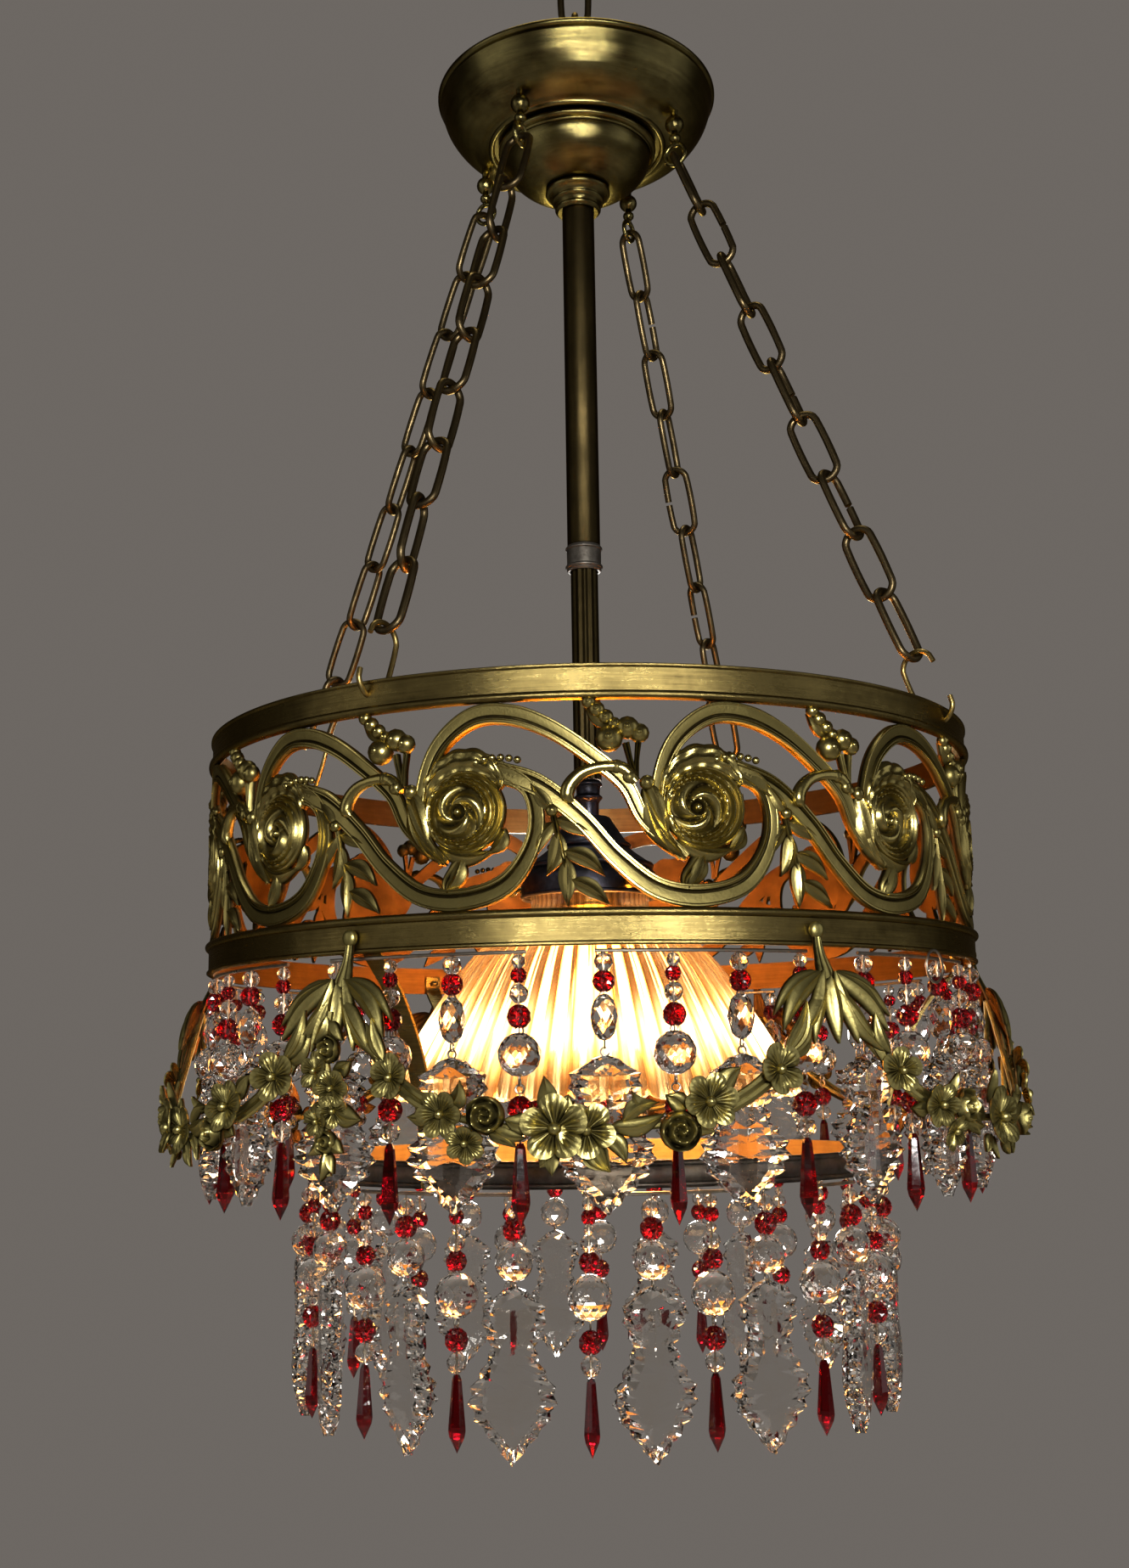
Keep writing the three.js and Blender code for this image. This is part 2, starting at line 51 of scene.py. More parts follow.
# ---- Node helpers --------------------------------------------------------------------------------
class Nodes:
    """Short names for building a node tree."""

    def __init__(self, tree):
        self.tree = tree

    def feed(self, socket, value):
        """Give a socket a constant, or another node's output."""
        if isinstance(value, bpy.types.NodeSocket):
            self.tree.links.new(value, socket)
        else:
            socket.default_value = value

    def new(self, kind, **values):
        """A node. A lower-case key is one of its settings, and any other is an input."""
        node = self.tree.nodes.new("ShaderNode" + kind)
        for key, value in values.items():
            if key[0].islower():
                setattr(node, key, value)
            else:
                self.feed(node.inputs[key], value)
        return node

    def coordinates(self, scale=(1, 1, 1)):
        place = self.new("TexCoord").outputs["Object"]
        return self.new("Mapping", Scale=scale, Vector=place).outputs["Vector"]

    def noise(self, vector, scale, detail, roughness=0.6):
        node = self.new("TexNoise", Vector=vector, Scale=scale, Detail=detail, Roughness=roughness)
        return node.outputs["Fac"]

    def attribute(self, name):
        return self.new("Attribute", attribute_name=name).outputs["Fac"]

    def ramp(self, factor, *stops):
        node = self.new("ValToRGB", Fac=factor)
        elements = node.color_ramp.elements
        while len(elements) < len(stops):
            elements.new(0.5)
        for element, (position, color) in zip(elements, stops):
            element.position = position
            element.color = (*color, 1)
        return node.outputs["Color"]

    def level(self, factor, *stops):
        """A ramp between plain numbers."""
        return self.ramp(factor, *[(position, (value,) * 3) for position, value in stops])

    def mix(self, factor, a, b):
        node = self.new("Mix", data_type="RGBA")
        colors = [socket for socket in node.inputs if socket.type == "RGBA"]
        for socket, value in zip((node.inputs[0], *colors), (factor, a, b)):
            self.feed(socket, value)
        return next(socket for socket in node.outputs if socket.type == "RGBA")

    def math(self, operation, a, b, clamp=False):
        node = self.new("Math", operation=operation, use_clamp=clamp)
        self.feed(node.inputs[0], a)
        self.feed(node.inputs[1], b)
        return node.outputs[0]

    def plus(self, a, b):
        return self.math("ADD", a, b)

    def times(self, a, b):
        return self.math("MULTIPLY", a, b)


class Material(Nodes):
    """One material's node tree, around its Principled shader."""

    def __init__(self, name):
        self.made = bpy.data.materials.new(name)
        self.made.use_nodes = True
        super().__init__(self.made.node_tree)
        self.shader = self.tree.nodes["Principled BSDF"]

    def paint(self, **values):
        """Feed the shader's sockets, named with _ for a space."""
        for key, value in values.items():
            self.feed(self.shader.inputs[key.replace("_", " ")], value)

    def bump(self, height, strength, distance):
        node = self.new("Bump", Height=height, Strength=strength, Distance=distance)
        self.paint(Normal=node.outputs["Normal"])

    def let_lamps_through(self, tint):
        """Glass doesn't shut in the bulb's light: shadow rays meet a tinted, mostly clear film."""
        shadow = self.new("LightPath").outputs["Is Shadow Ray"]
        clear = self.new("BsdfTransparent", Color=(*tint, 1)).outputs[0]
        choice = self.new("MixShader")
        for socket, value in zip(choice.inputs, (shadow, self.shader.outputs[0], clear)):
            self.feed(socket, value)
        self.feed(self.tree.nodes["Material Output"].inputs["Surface"], choice.outputs[0])


# ---- Camera and light ----------------------------------------------------------------------------
CAMERA_PLACE = (-0.0121, -0.864, -0.620)
CAMERA_LENS = 38.98
CAMERA_TILT, CAMERA_ROLL = 100, -0.85  # degrees
WALL_COLOR = (0.152, 0.137, 0.124, 1)  # behind the lamp, seen directly or through glass
ROOM_COLOR = (0.022, 0.018, 0.015, 1)  # all round the lamp, as its metal reflects it
LAMP_MIDDLE = (0, 0, -0.45)
LIGHTS = (  # name, place, what it points at, size, watts, colour
    ("flash", (0.10, -1.20, -0.42), (0, 0, -0.42), (0.2, 0.2), 15, (1.0, 0.98, 0.94)),
    ("left", (-1.6, -0.7, -0.2), LAMP_MIDDLE, (0.9, 1.4), 2.2, (1.0, 0.96, 0.9)),
    ("right", (1.6, -0.5, -0.2), LAMP_MIDDLE, (0.9, 1.4), 2.2, (0.98, 0.97, 0.97)),
    ("back", (0, 1.5, -0.45), LAMP_MIDDLE, (0.3, 0.3), 13, (1.0, 0.98, 0.94)),
    ("top", (0, 0.2, 0.9), LAMP_MIDDLE, (0.5, 0.5), 5, (1.0, 0.98, 0.95)),
)


def add_camera():
    data = bpy.data.cameras.new("camera")
    data.sensor_width = 36
    data.lens = CAMERA_LENS
    data.clip_start = 0.01
    camera = bpy.data.objects.new("camera", data)
    bpy.context.scene.collection.objects.link(camera)
    tilt = Matrix.Rotation(math.radians(CAMERA_TILT), 4, "X")
    roll = Matrix.Rotation(math.radians(CAMERA_ROLL), 4, "Z")
    camera.matrix_world = Matrix.Translation(CAMERA_PLACE) @ tilt @ roll
    bpy.context.scene.camera = camera


def add_light(name, place, target, size, watts, color):
    data = bpy.data.lights.new(name, "AREA")
    data.shape = "RECTANGLE"
    data.size, data.size_y = size
    data.energy = watts
    data.color = color
    light = bpy.data.objects.new(name, data)
    bpy.context.scene.collection.objects.link(light)
    light.location = place
    aim = Vector(target) - Vector(place)
    light.rotation_mode = "QUATERNION"
    light.rotation_quaternion = aim.to_track_quat("-Z", "Y")


def add_studio():
    world = bpy.data.worlds.new("studio")
    bpy.context.scene.world = world
    world.use_nodes = True
    n = Nodes(world.node_tree)
    ray = n.new("LightPath").outputs
    reflected = n.math("SUBTRACT", ray["Is Glossy Ray"], ray["Is Transmission Ray"], clamp=True)
    n.feed(n.tree.nodes["Background"].inputs["Color"], n.mix(reflected, WALL_COLOR, ROOM_COLOR))
    for light in LIGHTS:
        add_light(*light)


# ---- Materials -----------------------------------------------------------------------------------
BRASS_EDGE = (0.76, 0.62, 0.42, 1)
# The bulb's orange light, painted on the brass's inside faces, from dark to bright.
PAINTED_LAMPLIGHT_BRIGHT, PAINTED_LAMPLIGHT_DARK = (0.16, 0.085, 0.028), (0.03, 0.013, 0.005)


def brass(name, bright, dark, rough, streaks=None, patina=26, relief=True, dents=1.2, haze=0.28):
    """Aged brass: a noisy patina; with relief, darker in the hollows and brighter on the high places, as
    patina, wear and painted shade.
    """
    n = Material(name)
    drawn = n.coordinates(streaks or (1, 1, 1))
    cloud = n.noise(n.coordinates(), patina, 6, 0.65)
    stretch = n.noise(drawn, 26 if streaks else 140, 6, 0.75)
    wear_and_shade = n.plus(n.times(cloud, 0.62), n.times(stretch, 0.38))
    if relief:
        # Painted shade in part, with patina and wear: the lower the relief, the darker and rougher the brass.
        high = n.attribute("relief")
        wear_and_shade = n.plus(n.times(wear_and_shade, 0.55), n.times(high, 0.5))
    middle = tuple(0.45 * a + 0.55 * b for a, b in zip(bright, dark))
    color = n.ramp(wear_and_shade, (0.3, dark), (0.47, middle), (0.66, bright))
    if relief:
        # Inside faces, marked -1, are painted orange-brown as the bulb's light falls on them.
        painted_lamplight_faces = n.math("LESS_THAN", high, -0.4)
        color = n.mix(painted_lamplight_faces, color, n.ramp(cloud, (0.3, PAINTED_LAMPLIGHT_DARK), (0.7, PAINTED_LAMPLIGHT_BRIGHT)))
    n.paint(Metallic=1, Specular_Tint=BRASS_EDGE, Base_Color=color,
            Roughness=n.level(wear_and_shade, (0.3, rough + haze), (0.68, rough)))
    grain = n.noise(drawn, 900, 3)
    n.bump(n.plus(n.times(grain, 0.5), n.times(cloud, dents)), 0.25, 0.0006)
    return n.made


def glass(name, color, tint, rough, ior, through, speckle):
    n = Material(name)
    cloud = n.noise(n.coordinates(), 90, 4)
    n.paint(Transmission_Weight=1, IOR=ior, Base_Color=n.ramp(cloud, (0.35, color), (0.7, tint)),
            Roughness=n.level(cloud, (0.4, rough), (0.75, rough + speckle)))
    n.bump(n.noise(n.coordinates(), 260, 3), 0.08, 0.0004)
    n.let_lamps_through(through)
    return n.made


def lit_shade(name):
    """Pressed glass with the bulb's light painted in: amber and clear between the ribs, cream and glowing on
    them.
    """
    n = Material(name)
    high = n.attribute("relief")
    cloud = n.noise(n.coordinates((1, 1, 0.2)), 90, 3, 0.5)
    # Painted light: the glass is tinted cream on the ribs and amber between them.
    painted_rib_tint = n.plus(n.times(high, 0.6), n.times(cloud, 0.4))
    edge = n.plus(n.math("POWER", high, 3.2), 0.09)
    # Painted light: an emission for the bulb's light coming through, strongest on the ribs.
    painted_glow = n.times(n.times(n.attribute("glow"), edge), n.plus(cloud, 0.45))
    amber, honey, cream = (0.42, 0.19, 0.06), (0.9, 0.66, 0.36), (1.0, 0.95, 0.84)
    ember, flame, candle = (1.0, 0.42, 0.1), (1.0, 0.68, 0.32), (1.0, 0.86, 0.6)
    n.paint(Transmission_Weight=1, IOR=1.46,
            Base_Color=n.ramp(painted_rib_tint, (0.28, amber), (0.46, honey), (0.66, cream)),
            Roughness=n.level(high, (0.1, 0.16), (0.8, 0.05)),
            Emission_Color=n.ramp(painted_glow, (0.0, ember), (0.35, flame), (0.8, candle)),
            Emission_Strength=n.times(painted_glow, 6.0))
    n.let_lamps_through((1.0, 0.92, 0.75))
    return n.made


def lit_bulb(name):
    """Frosted glass that glows more brightly away from its neck."""
    n = Material(name)
    glow = n.attribute("glow")
    n.paint(Roughness=0.25,
            Base_Color=n.ramp(glow, (0.0, (1.0, 0.55, 0.22)), (0.6, (1.0, 0.74, 0.42))),
            Emission_Color=n.ramp(glow, (0.0, (1.0, 0.34, 0.06)), (0.5, (1.0, 0.43, 0.11))),
            Emission_Strength=n.plus(n.times(glow, 260), 10))
    n.bump(n.noise(n.coordinates(), 300, 2), 0.1, 0.0003)
    return n.made


def plain(name, bright, dark, rough, metallic, scale=120):
    """A satin or matt surface with a mottled colour and a fine grain."""
    n = Material(name)
    cloud = n.noise(n.coordinates(), scale, 5)
    n.paint(Metallic=metallic, Base_Color=n.ramp(cloud, (0.32, dark), (0.7, bright)),
            Roughness=n.level(cloud, (0.3, rough + 0.2), (0.7, rough)))
    n.bump(n.noise(n.coordinates(), scale * 7, 3), 0.2, 0.0004)
    return n.made


SPUN = brass("spun_brass", (0.31, 0.265, 0.1), (0.026, 0.013, 0.004), 0.19, (1, 1, 14), relief=False,
             dents=0.1, haze=0.04)
BAND = brass("band_brass", (0.31, 0.235, 0.08), (0.018, 0.012, 0.005), 0.19, (1, 1, 34), relief=False,
             haze=0.2)
# Inner walls of the bands and ring, with the bulb's orange light painted on.
PAINTED_LAMPLIT_BRASS = brass("brass_painted_lamplit", PAINTED_LAMPLIGHT_BRIGHT, PAINTED_LAMPLIGHT_DARK, 0.28, (1, 1, 20), relief=False)
RING_PAINTED_LAMPLIT = brass("ring_brass_painted_lamplit", (0.3, 0.19, 0.07), (0.1, 0.05, 0.018), 0.4, (1, 1, 20), relief=False)
CAST = brass("cast_brass", (0.42, 0.345, 0.12), (0.022, 0.016, 0.006), 0.25, patina=40)
LEAF = brass("garland_brass", (0.42, 0.36, 0.13), (0.018, 0.014, 0.005), 0.36, patina=90, dents=2.2)
DARK = brass("chain_brass", (0.17, 0.125, 0.06), (0.016, 0.012, 0.008), 0.26, patina=60, relief=False)
BRIGHT = brass("wire_brass", (0.46, 0.34, 0.12), (0.13, 0.085, 0.028), 0.2, patina=60, relief=False)
STEM = brass("stem_brass", (0.05, 0.036, 0.014), (0.012, 0.009, 0.004), 0.27, (14, 14, 1), relief=False)
RING = plain("ring_bronze", (0.13, 0.115, 0.10), (0.045, 0.038, 0.033), 0.36, 1)
BRONZE = plain("gallery_bronze", (0.10, 0.10, 0.13), (0.03, 0.028, 0.03), 0.3, 1)
SLEEVE = plain("sleeve_metal", (0.23, 0.21, 0.18), (0.07, 0.06, 0.05), 0.4, 1)
TIN = plain("cap_tin", (0.6, 0.58, 0.52), (0.4, 0.38, 0.33), 0.3, 1)
CRYSTAL = glass("cut_crystal", (0.985, 0.97, 0.945), (0.96, 0.91, 0.84), 0.012, 1.56,
                (0.9, 0.88, 0.82), 0.03)
RED = glass("garnet_glass", (0.3, 0.0015, 0.006), (0.16, 0.001, 0.004), 0.06, 1.55,
            (0.5, 0.05, 0.04), 0.1)
WIRE = plain("steel_wire", (0.42, 0.38, 0.32), (0.2, 0.17, 0.13), 0.25, 1)
SHADE = lit_shade("shade_glass")
BULB = lit_bulb("bulb_glass")
FLOOR = plain("pale_floor", (0.62, 0.6, 0.57), (0.57, 0.55, 0.52), 0.6, 0, 30)


# ---- Shapes --------------------------------------------------------------------------------------
PLAIN_RELIEF = 0.55  # how high a surface counts where nothing else is said, lower painted darker partly as shade; -1 marks an inside face painted with lamplight
SHARP_ANGLE = math.radians(42)


def circle(count):
    return np.linspace(0, FULL_TURN, count, endpoint=False)


def turn(degrees):
    return Matrix.Rotation(math.radians(degrees), 4, "Z")


def shift(x, y, z):
    return Matrix.Translation((x, y, z))


def add_attribute(mesh, name, values):
    attribute = mesh.attributes.new(name, "FLOAT", "POINT")
    attribute.data.foreach_set("value", values)


class Shape:
    """Vertices in millimetres and their faces, gathered from many small solids."""

    def __init__(self):
        self.verts, self.relief, self.faces, self.slots, self.smooth = [], [], [], [], []
        self.count = 0

    def add(self, solid, slot=0, smooth=True, matrix=None, relief=PLAIN_RELIEF):
        verts, faces = np.asarray(solid[0], float), solid[1]
        if matrix is not None:
            verts = verts @ np.asarray(matrix)[:3, :3].T + np.asarray(matrix)[:3, 3]
        if len(solid) > 2:
            relief = solid[2]
        self.verts.append(verts)
        self.relief.append(np.broadcast_to(np.asarray(relief, float), (len(verts),)))
        self.faces += [tuple(i + self.count for i in face) for face in faces]
        self.slots += [slot] * len(faces)
        self.smooth += [smooth] * len(faces)
        self.count += len(verts)

    def mesh(self, name, materials, bend=None, glow=None):
        points = np.concatenate(self.verts)
        if bend:
            points = bend(points)
        mesh = bpy.data.meshes.new(name)
        mesh.from_pydata((points * MM).tolist(), [], self.faces)
        for material in materials:
            mesh.materials.append(material)
        mesh.polygons.foreach_set("material_index", self.slots)
        mesh.polygons.foreach_set("use_smooth", self.smooth)
        add_attribute(mesh, "relief", np.concatenate(self.relief))
        if glow is not None:
            add_attribute(mesh, "glow", glow)
        outwards = bmesh.new()
        outwards.from_mesh(mesh)
        bmesh.ops.recalc_face_normals(outwards, faces=outwards.faces)
        outwards.to_mesh(mesh)
        outwards.free()
        mesh.set_sharp_from_angle(angle=SHARP_ANGLE)
        mesh.polygons.foreach_set("use_smooth", self.smooth)  # the line before resets them
        mesh.update()
        return mesh


def piece(name, mesh, body, replaced=(), matrix=None):
    """One finished object from a mesh, put in its place, riding on a body and standing for CAD nodes."""
    if matrix is not None:
        mesh = mesh.copy()
        mesh.transform(matrix)
    made = bpy.data.objects.new(name, mesh)
    bpy.context.scene.collection.objects.link(made)
    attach(made, body)
    if replaced:
        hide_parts(*replaced)


def unit(vectors):
    return vectors / np.linalg.norm(vectors, axis=1)[:, None]


def left_of(line):
    """The unit direction to the left of a flat line, at each of its points."""
    along = unit(np.gradient(line, axis=0))
    return np.stack([-along[:, 1], along[:, 0]], 1)


def curve_points(points, count):
    """A smooth Catmull-Rom line through the points, sampled evenly by length."""
    p = np.asarray(points, float)
    p = np.vstack([2 * p[0] - p[1], p, 2 * p[-1] - p[-2]])
    t = np.linspace(0, 1, 24, endpoint=False)[:, None]
    fine = []
    for a, b, c, d in zip(p, p[1:], p[2:], p[3:]):
        fine.append(0.5 * (2 * b + (c - a) * t + (2 * a - 5 * b + 4 * c - d) * t**2
                           + (3 * b - a - 3 * c + d) * t**3))
    fine = np.vstack(fine + [p[-2][None]])
    along = np.concatenate([[0], np.cumsum(np.linalg.norm(np.diff(fine, axis=0), axis=1))])
    wanted = np.linspace(0, along[-1], count)
    return np.stack([np.interp(wanted, along, column) for column in fine.T], 1)


def grid_faces(rows, columns, wrap_rows=False, wrap_columns=False):
    faces = []
    for i in range(rows if wrap_rows else rows - 1):
        for j in range(columns if wrap_columns else columns - 1):
            i2, j2 = (i + 1) % rows, (j + 1) % columns
            faces.append((i * columns + j, i * columns + j2, i2 * columns + j2, i2 * columns + j))
    return faces


def capped_faces(rows, columns):
    """The faces of a grid whose rows are rings, closed at both ends."""
    last = (rows - 1) * columns
    ends = [tuple(range(columns))[::-1], tuple(range(last, last + columns))]
    return grid_faces(rows, columns, False, True) + ends


def lathe(profile, segments, flutes=0, depth=0.0):
    """A closed profile of [radius, z] turned round Z, solid where it meets the axis."""
    p = np.asarray(profile, float)
    on_axis = p[0][0] < 1e-6 and p[-1][0] < 1e-6
    angles = circle(segments)
    ring = 1 + depth * np.cos(flutes * angles)
    verts = np.stack([np.outer(ring * np.cos(angles), p[:, 0]), np.outer(ring * np.sin(angles), p[:, 0]),
                      np.outer(np.ones(segments), p[:, 1])], -1).reshape(-1, 3)
    return verts, grid_faces(segments, len(p), True, not on_axis)


def tube(path, radius, sides, closed=False):
    """A round bar along a path; the radius may change along it."""
    p = np.asarray(path, float)
    n = len(p)
    radius = np.broadcast_to(np.asarray(radius, float), (n,))
    ahead = np.roll(p, -1, 0) - np.roll(p, 1, 0)
    if not closed:
        ahead[0], ahead[-1] = p[1] - p[0], p[-1] - p[-2]
    ahead = unit(ahead)
    side = np.cross(ahead[0], (0.3, 0.2, 0.9))
    angles = circle(sides)
    verts = []
    for i in range(n):
        side = side - ahead[i] * (side @ ahead[i])
        side /= np.linalg.norm(side)
        other = np.cross(ahead[i], side)
        ring = np.outer(np.cos(angles), side) + np.outer(np.sin(angles), other)
        verts.append(p[i] + radius[i] * ring)
    return np.vstack(verts), grid_faces(n, sides, True, True) if closed else capped_faces(n, sides)


def wire_ring(radius, z, wire, points, sides):
    """A closed ring of wire, standing in the XZ plane."""
    angles = circle(points)
    path = np.stack([radius * np.cos(angles), 0 * angles, z + radius * np.sin(angles)], 1)
    return tube(path, wire, sides, closed=True)


def oval_path(length, width, wire, opening=0.0):
    """The middle line of a link in the XZ plane, long axis on Z, with a split if asked."""
    radius = (width - wire) / 2
    straight = (length - width) / 2
    angles = np.linspace(opening / 2, FULL_TURN - opening / 2, 40, endpoint=opening > 0)
    x, z = radius * np.cos(angles), radius * np.sin(angles)
    return np.stack([x, 0 * x, z + straight * np.clip(np.sin(angles) * 3, -1, 1)], 1)


def ball(radius, rings, segments, stretch=1.0):
    """A cut ball: rows of facets, each row turned half a step, ready to be shaded flat."""
    verts, faces = [(0, 0, radius * stretch)], []
    for i in range(1, rings):
        polar_angle = math.pi * i / rings
        for j in range(segments):
            a = FULL_TURN * (j + 0.5 * (i % 2)) / segments
            r = radius * math.sin(polar_angle)
            verts.append((r * math.cos(a), r * math.sin(a), radius * stretch * math.cos(polar_angle)))
    verts.append((0, 0, -radius * stretch))

    def at(i, j):
        return 1 + (i - 1) * segments + j % segments

    for j in range(segments):
        faces.append((0, at(1, j), at(1, j + 1)))
        faces.append((len(verts) - 1, at(rings - 1, j + 1), at(rings - 1, j)))
        for i in range(1, rings - 1):
            a, b, c, d = at(i, j), at(i + 1, j), at(i + 1, j + 1), at(i, j + 1)
            faces += [(a, b, c), (a, c, d)] if i % 2 else [(a, b, d), (d, b, c)]
    return np.array(verts), faces


CAST_THICKNESS = 1.0
FLAT_BACK = -0.8


def solid_sheet(top, relief, back):
    """A grid of top points closed into a solid, with a flat back at a level, or a parallel one."""
    rows, columns = top.shape[:2]
    n = rows * columns
    top = top.reshape(n, 3)
    under = top.copy()
    under[:, 2] = top[:, 2] - CAST_THICKNESS if back is None else back
    faces = grid_faces(rows, columns)
    faces += [tuple(n + i for i in face)[::-1] for face in faces]
    rim = [*range(columns), *range(2 * columns - 1, n, columns)]
    rim += [*range(n - 2, n - columns - 1, -1), *range(n - 2 * columns, 0, -columns)]
    for a, b in zip(rim, rim[1:] + rim[:1]):
        faces.append((b, a, n + a, n + b))
    return np.vstack([top, under]), faces, np.concatenate([relief.reshape(n), np.full(n, -1.0)])


# ---- Places taken from the frame -----------------------------------------------------------------
def low(node):
    return np.array(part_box(node)[0]) / MM


def high(node):
    return np.array(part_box(node)[1]) / MM


def ends(node):
    """The heights of a node's top and foot."""
    return high(node)[2], low(node)[2]


def polar(radius, azimuth, z=0.0):
    """Azimuth 0 is the front, towards -Y, and grows towards +X."""
    a = math.radians(azimuth)
    return np.array([radius * math.sin(a), -radius * math.cos(a), z])


DRUM_TOP = high("upper_rim_band")[2]
DRUM_BOTTOM = low("lower_rim_band")[2]
DRUM_RADIUS = 190.0
BAND_HEIGHT = 15.0
SHEET = 2.4  # thickness of the drum's bands and of the inner ring
CHAIN_AZIMUTHS = (-30, 60, 150, 240)
LINK_WIRE = 3.8


# ---- Turned work ---------------------------------------------------------------------------------
def rounded(points, steps):
    """The outline with its corners turned into arcs. Points marked with a third 1 stay sharp."""
    p = [np.array(q[:2], float) for q in points]
    out = []
    for i, q in enumerate(points):
        if i in (0, len(points) - 1) or len(q) > 2:
            out.append(p[i])
            continue
        a, b = (p[i] + p[i - 1]) / 2, (p[i] + p[i + 1]) / 2
        for t in np.linspace(0, 1, steps):
            out.append((1 - t) ** 2 * a + 2 * t * (1 - t) * p[i] + t * t * b)
    return np.array(out)


def shell(outer, thickness):
    """A profile doubled inwards by the thickness, to make a thin turned sheet."""
    p = np.asarray(outer, float)
    inner = p - left_of(p) * thickness
    return np.vstack([p, inner[::-1]])


def bead(radius, z, size, steps=9):
    """Points of a half-round moulding on a turned outline, from its top to its bottom."""
    return [(radius + size * math.sin(a), z + size * math.cos(a))
            for a in np.linspace(0.15, math.pi - 0.15, steps)]


def turned(name, node, outline, segments, material, slot, **flutes):
    """A turned piece that stands for one CAD node of the lamp's body."""
    shape = Shape()
    shape.add(lathe(outline, segments, **flutes))
    piece(name, shape.mesh(name, [material]), "lamp", [node])


def suspension():
    for node, quarter in (("suspension_link_upper", 0), ("suspension_link_lower", 90)):
        lo, hi = low(node), high(node)
        width = max(hi[0] - lo[0], hi[1] - lo[1])
        link = Shape()
        link.add(tube(oval_path(hi[2] - lo[2], width, LINK_WIRE), LINK_WIRE / 2, 12, closed=True),
                 matrix=shift(0, 0, (lo[2] + hi[2]) / 2) @ turn(quarter))
        piece(node + "_wire", link.mesh(node, [DARK]), "lamp", [node])
    top, foot = ends("hanging_loop")
    eye = top - 11.2
    outline = [(0, eye - 7.6), (3.6, eye - 8.2), (4.2, eye - 10), *bead(4.4, eye - 11.8, 1.5), (5, eye - 14),
               (6.6, eye - 16), *bead(6.2, eye - 18, 1.2), (6.2, eye - 19.4), (4.4, eye - 20), (4.4, foot),
               (0, foot)]
    loop = Shape()
    loop.add(wire_ring(9, eye, 2.2, 40, 12))
    loop.add(lathe(outline, 40))
    piece("hanging_loop_turned", loop.mesh("hanging_loop", [DARK]), "lamp", ["hanging_loop"])


def canopy():
    rim, floor = ends("ceiling_canopy")
    bottom = low("canopy_cup")[2]
    dome = rounded([(75.8, rim - 3.8), (74.4, rim - 7), (72.0, rim - 15), (64.5, rim - 24.5),
                    (54, rim - 28.6), (50, floor + 0.9)], 6)
    step = [(47.2 + 1.7 * math.cos(a), floor + 0.6 - 1.5 * math.sin(a)) for a in np.linspace(0.1, 3.0, 8)]
    dish = [(74.2, rim - 0.4), *bead(75.0, rim - 1.6, 1.6, 8), (74.2, rim - 3.6),
            *bead(74.2, rim - 4.7, 0.9, 6), *dome[1:], *step, (43.8, floor + 0.4), (11, floor + 0.4)]
    turned("canopy_dish", "ceiling_canopy", shell(dish, 1.1), 120, SPUN, "spun_brass")

    bowl = rounded([(40.3, floor - 4.6), (40.2, floor - 8.5), (36.6, floor - 15), (29.5, floor - 20.8),
                    (21, bottom + 0.5)], 7)
    cup = [(30, floor - 0.4), *bead(42.0, floor - 1.9, 1.4, 8), (41.2, floor - 3.5),
           *bead(40.8, floor - 4.6, 0.8, 5), *bowl, (18, bottom + 0.2), (11, bottom + 0.2)]
    turned("canopy_bowl", "canopy_cup", shell(cup, 0.9), 110, SPUN, "spun_brass")

    top = high("canopy_collar")[2]
    collar = [(8.9, top), (16.2, top), *bead(16.4, top - 1.4, 1.4), (15.6, top - 3), (14, top - 4.4),
              *bead(13.4, top - 6.2, 1.0), (12.6, top - 7.8), (12.2, top - 9), *bead(11.4, top - 11, 1.2),
              (11, top - 13), (8.9, top - 13)]
    turned("canopy_collar_turned", "canopy_collar", collar, 60, SPUN, "spun_brass")


def hooks():
    """Each chain hangs from a screw hook: a nut, a turned neck with a ball, and an eye."""
    for i, azimuth in enumerate(CHAIN_AZIMUTHS):
        node = f"canopy_hook_{i + 1}"
        lo, hi = low(node), high(node)
        x, y = (lo + hi)[:2] / 2
        top = hi[2]
        outline = [(0, top), (4.4, top), (5, top - 1), (4.6, top - 3.4), (3.2, top - 4.6), (2, top - 5.4),
                   (2, top - 13.4), *bead(0.3, top - 18.6, 4.8, 11), (2, top - 23.6),
                   *bead(0.6, top - 26.6, 2.6, 7), (1.6, top - 29.4), (1.6, top - 31), (0, top - 31)]
        hook = Shape()
        hook.add(lathe(outline, 24))
        angles = circle(28) + 0.02
        eye = np.stack([5.7 * np.sin(angles), 0 * angles, 5.7 * np.cos(angles) + lo[2] + 7], 1)
        hook.add(tube(eye, 1.3, 10, closed=True), matrix=turn(90 + azimuth))
        piece(node + "_turned", hook.mesh(node, [SPUN]), "lamp", [node],
              shift(x * MM, y * MM, 0))


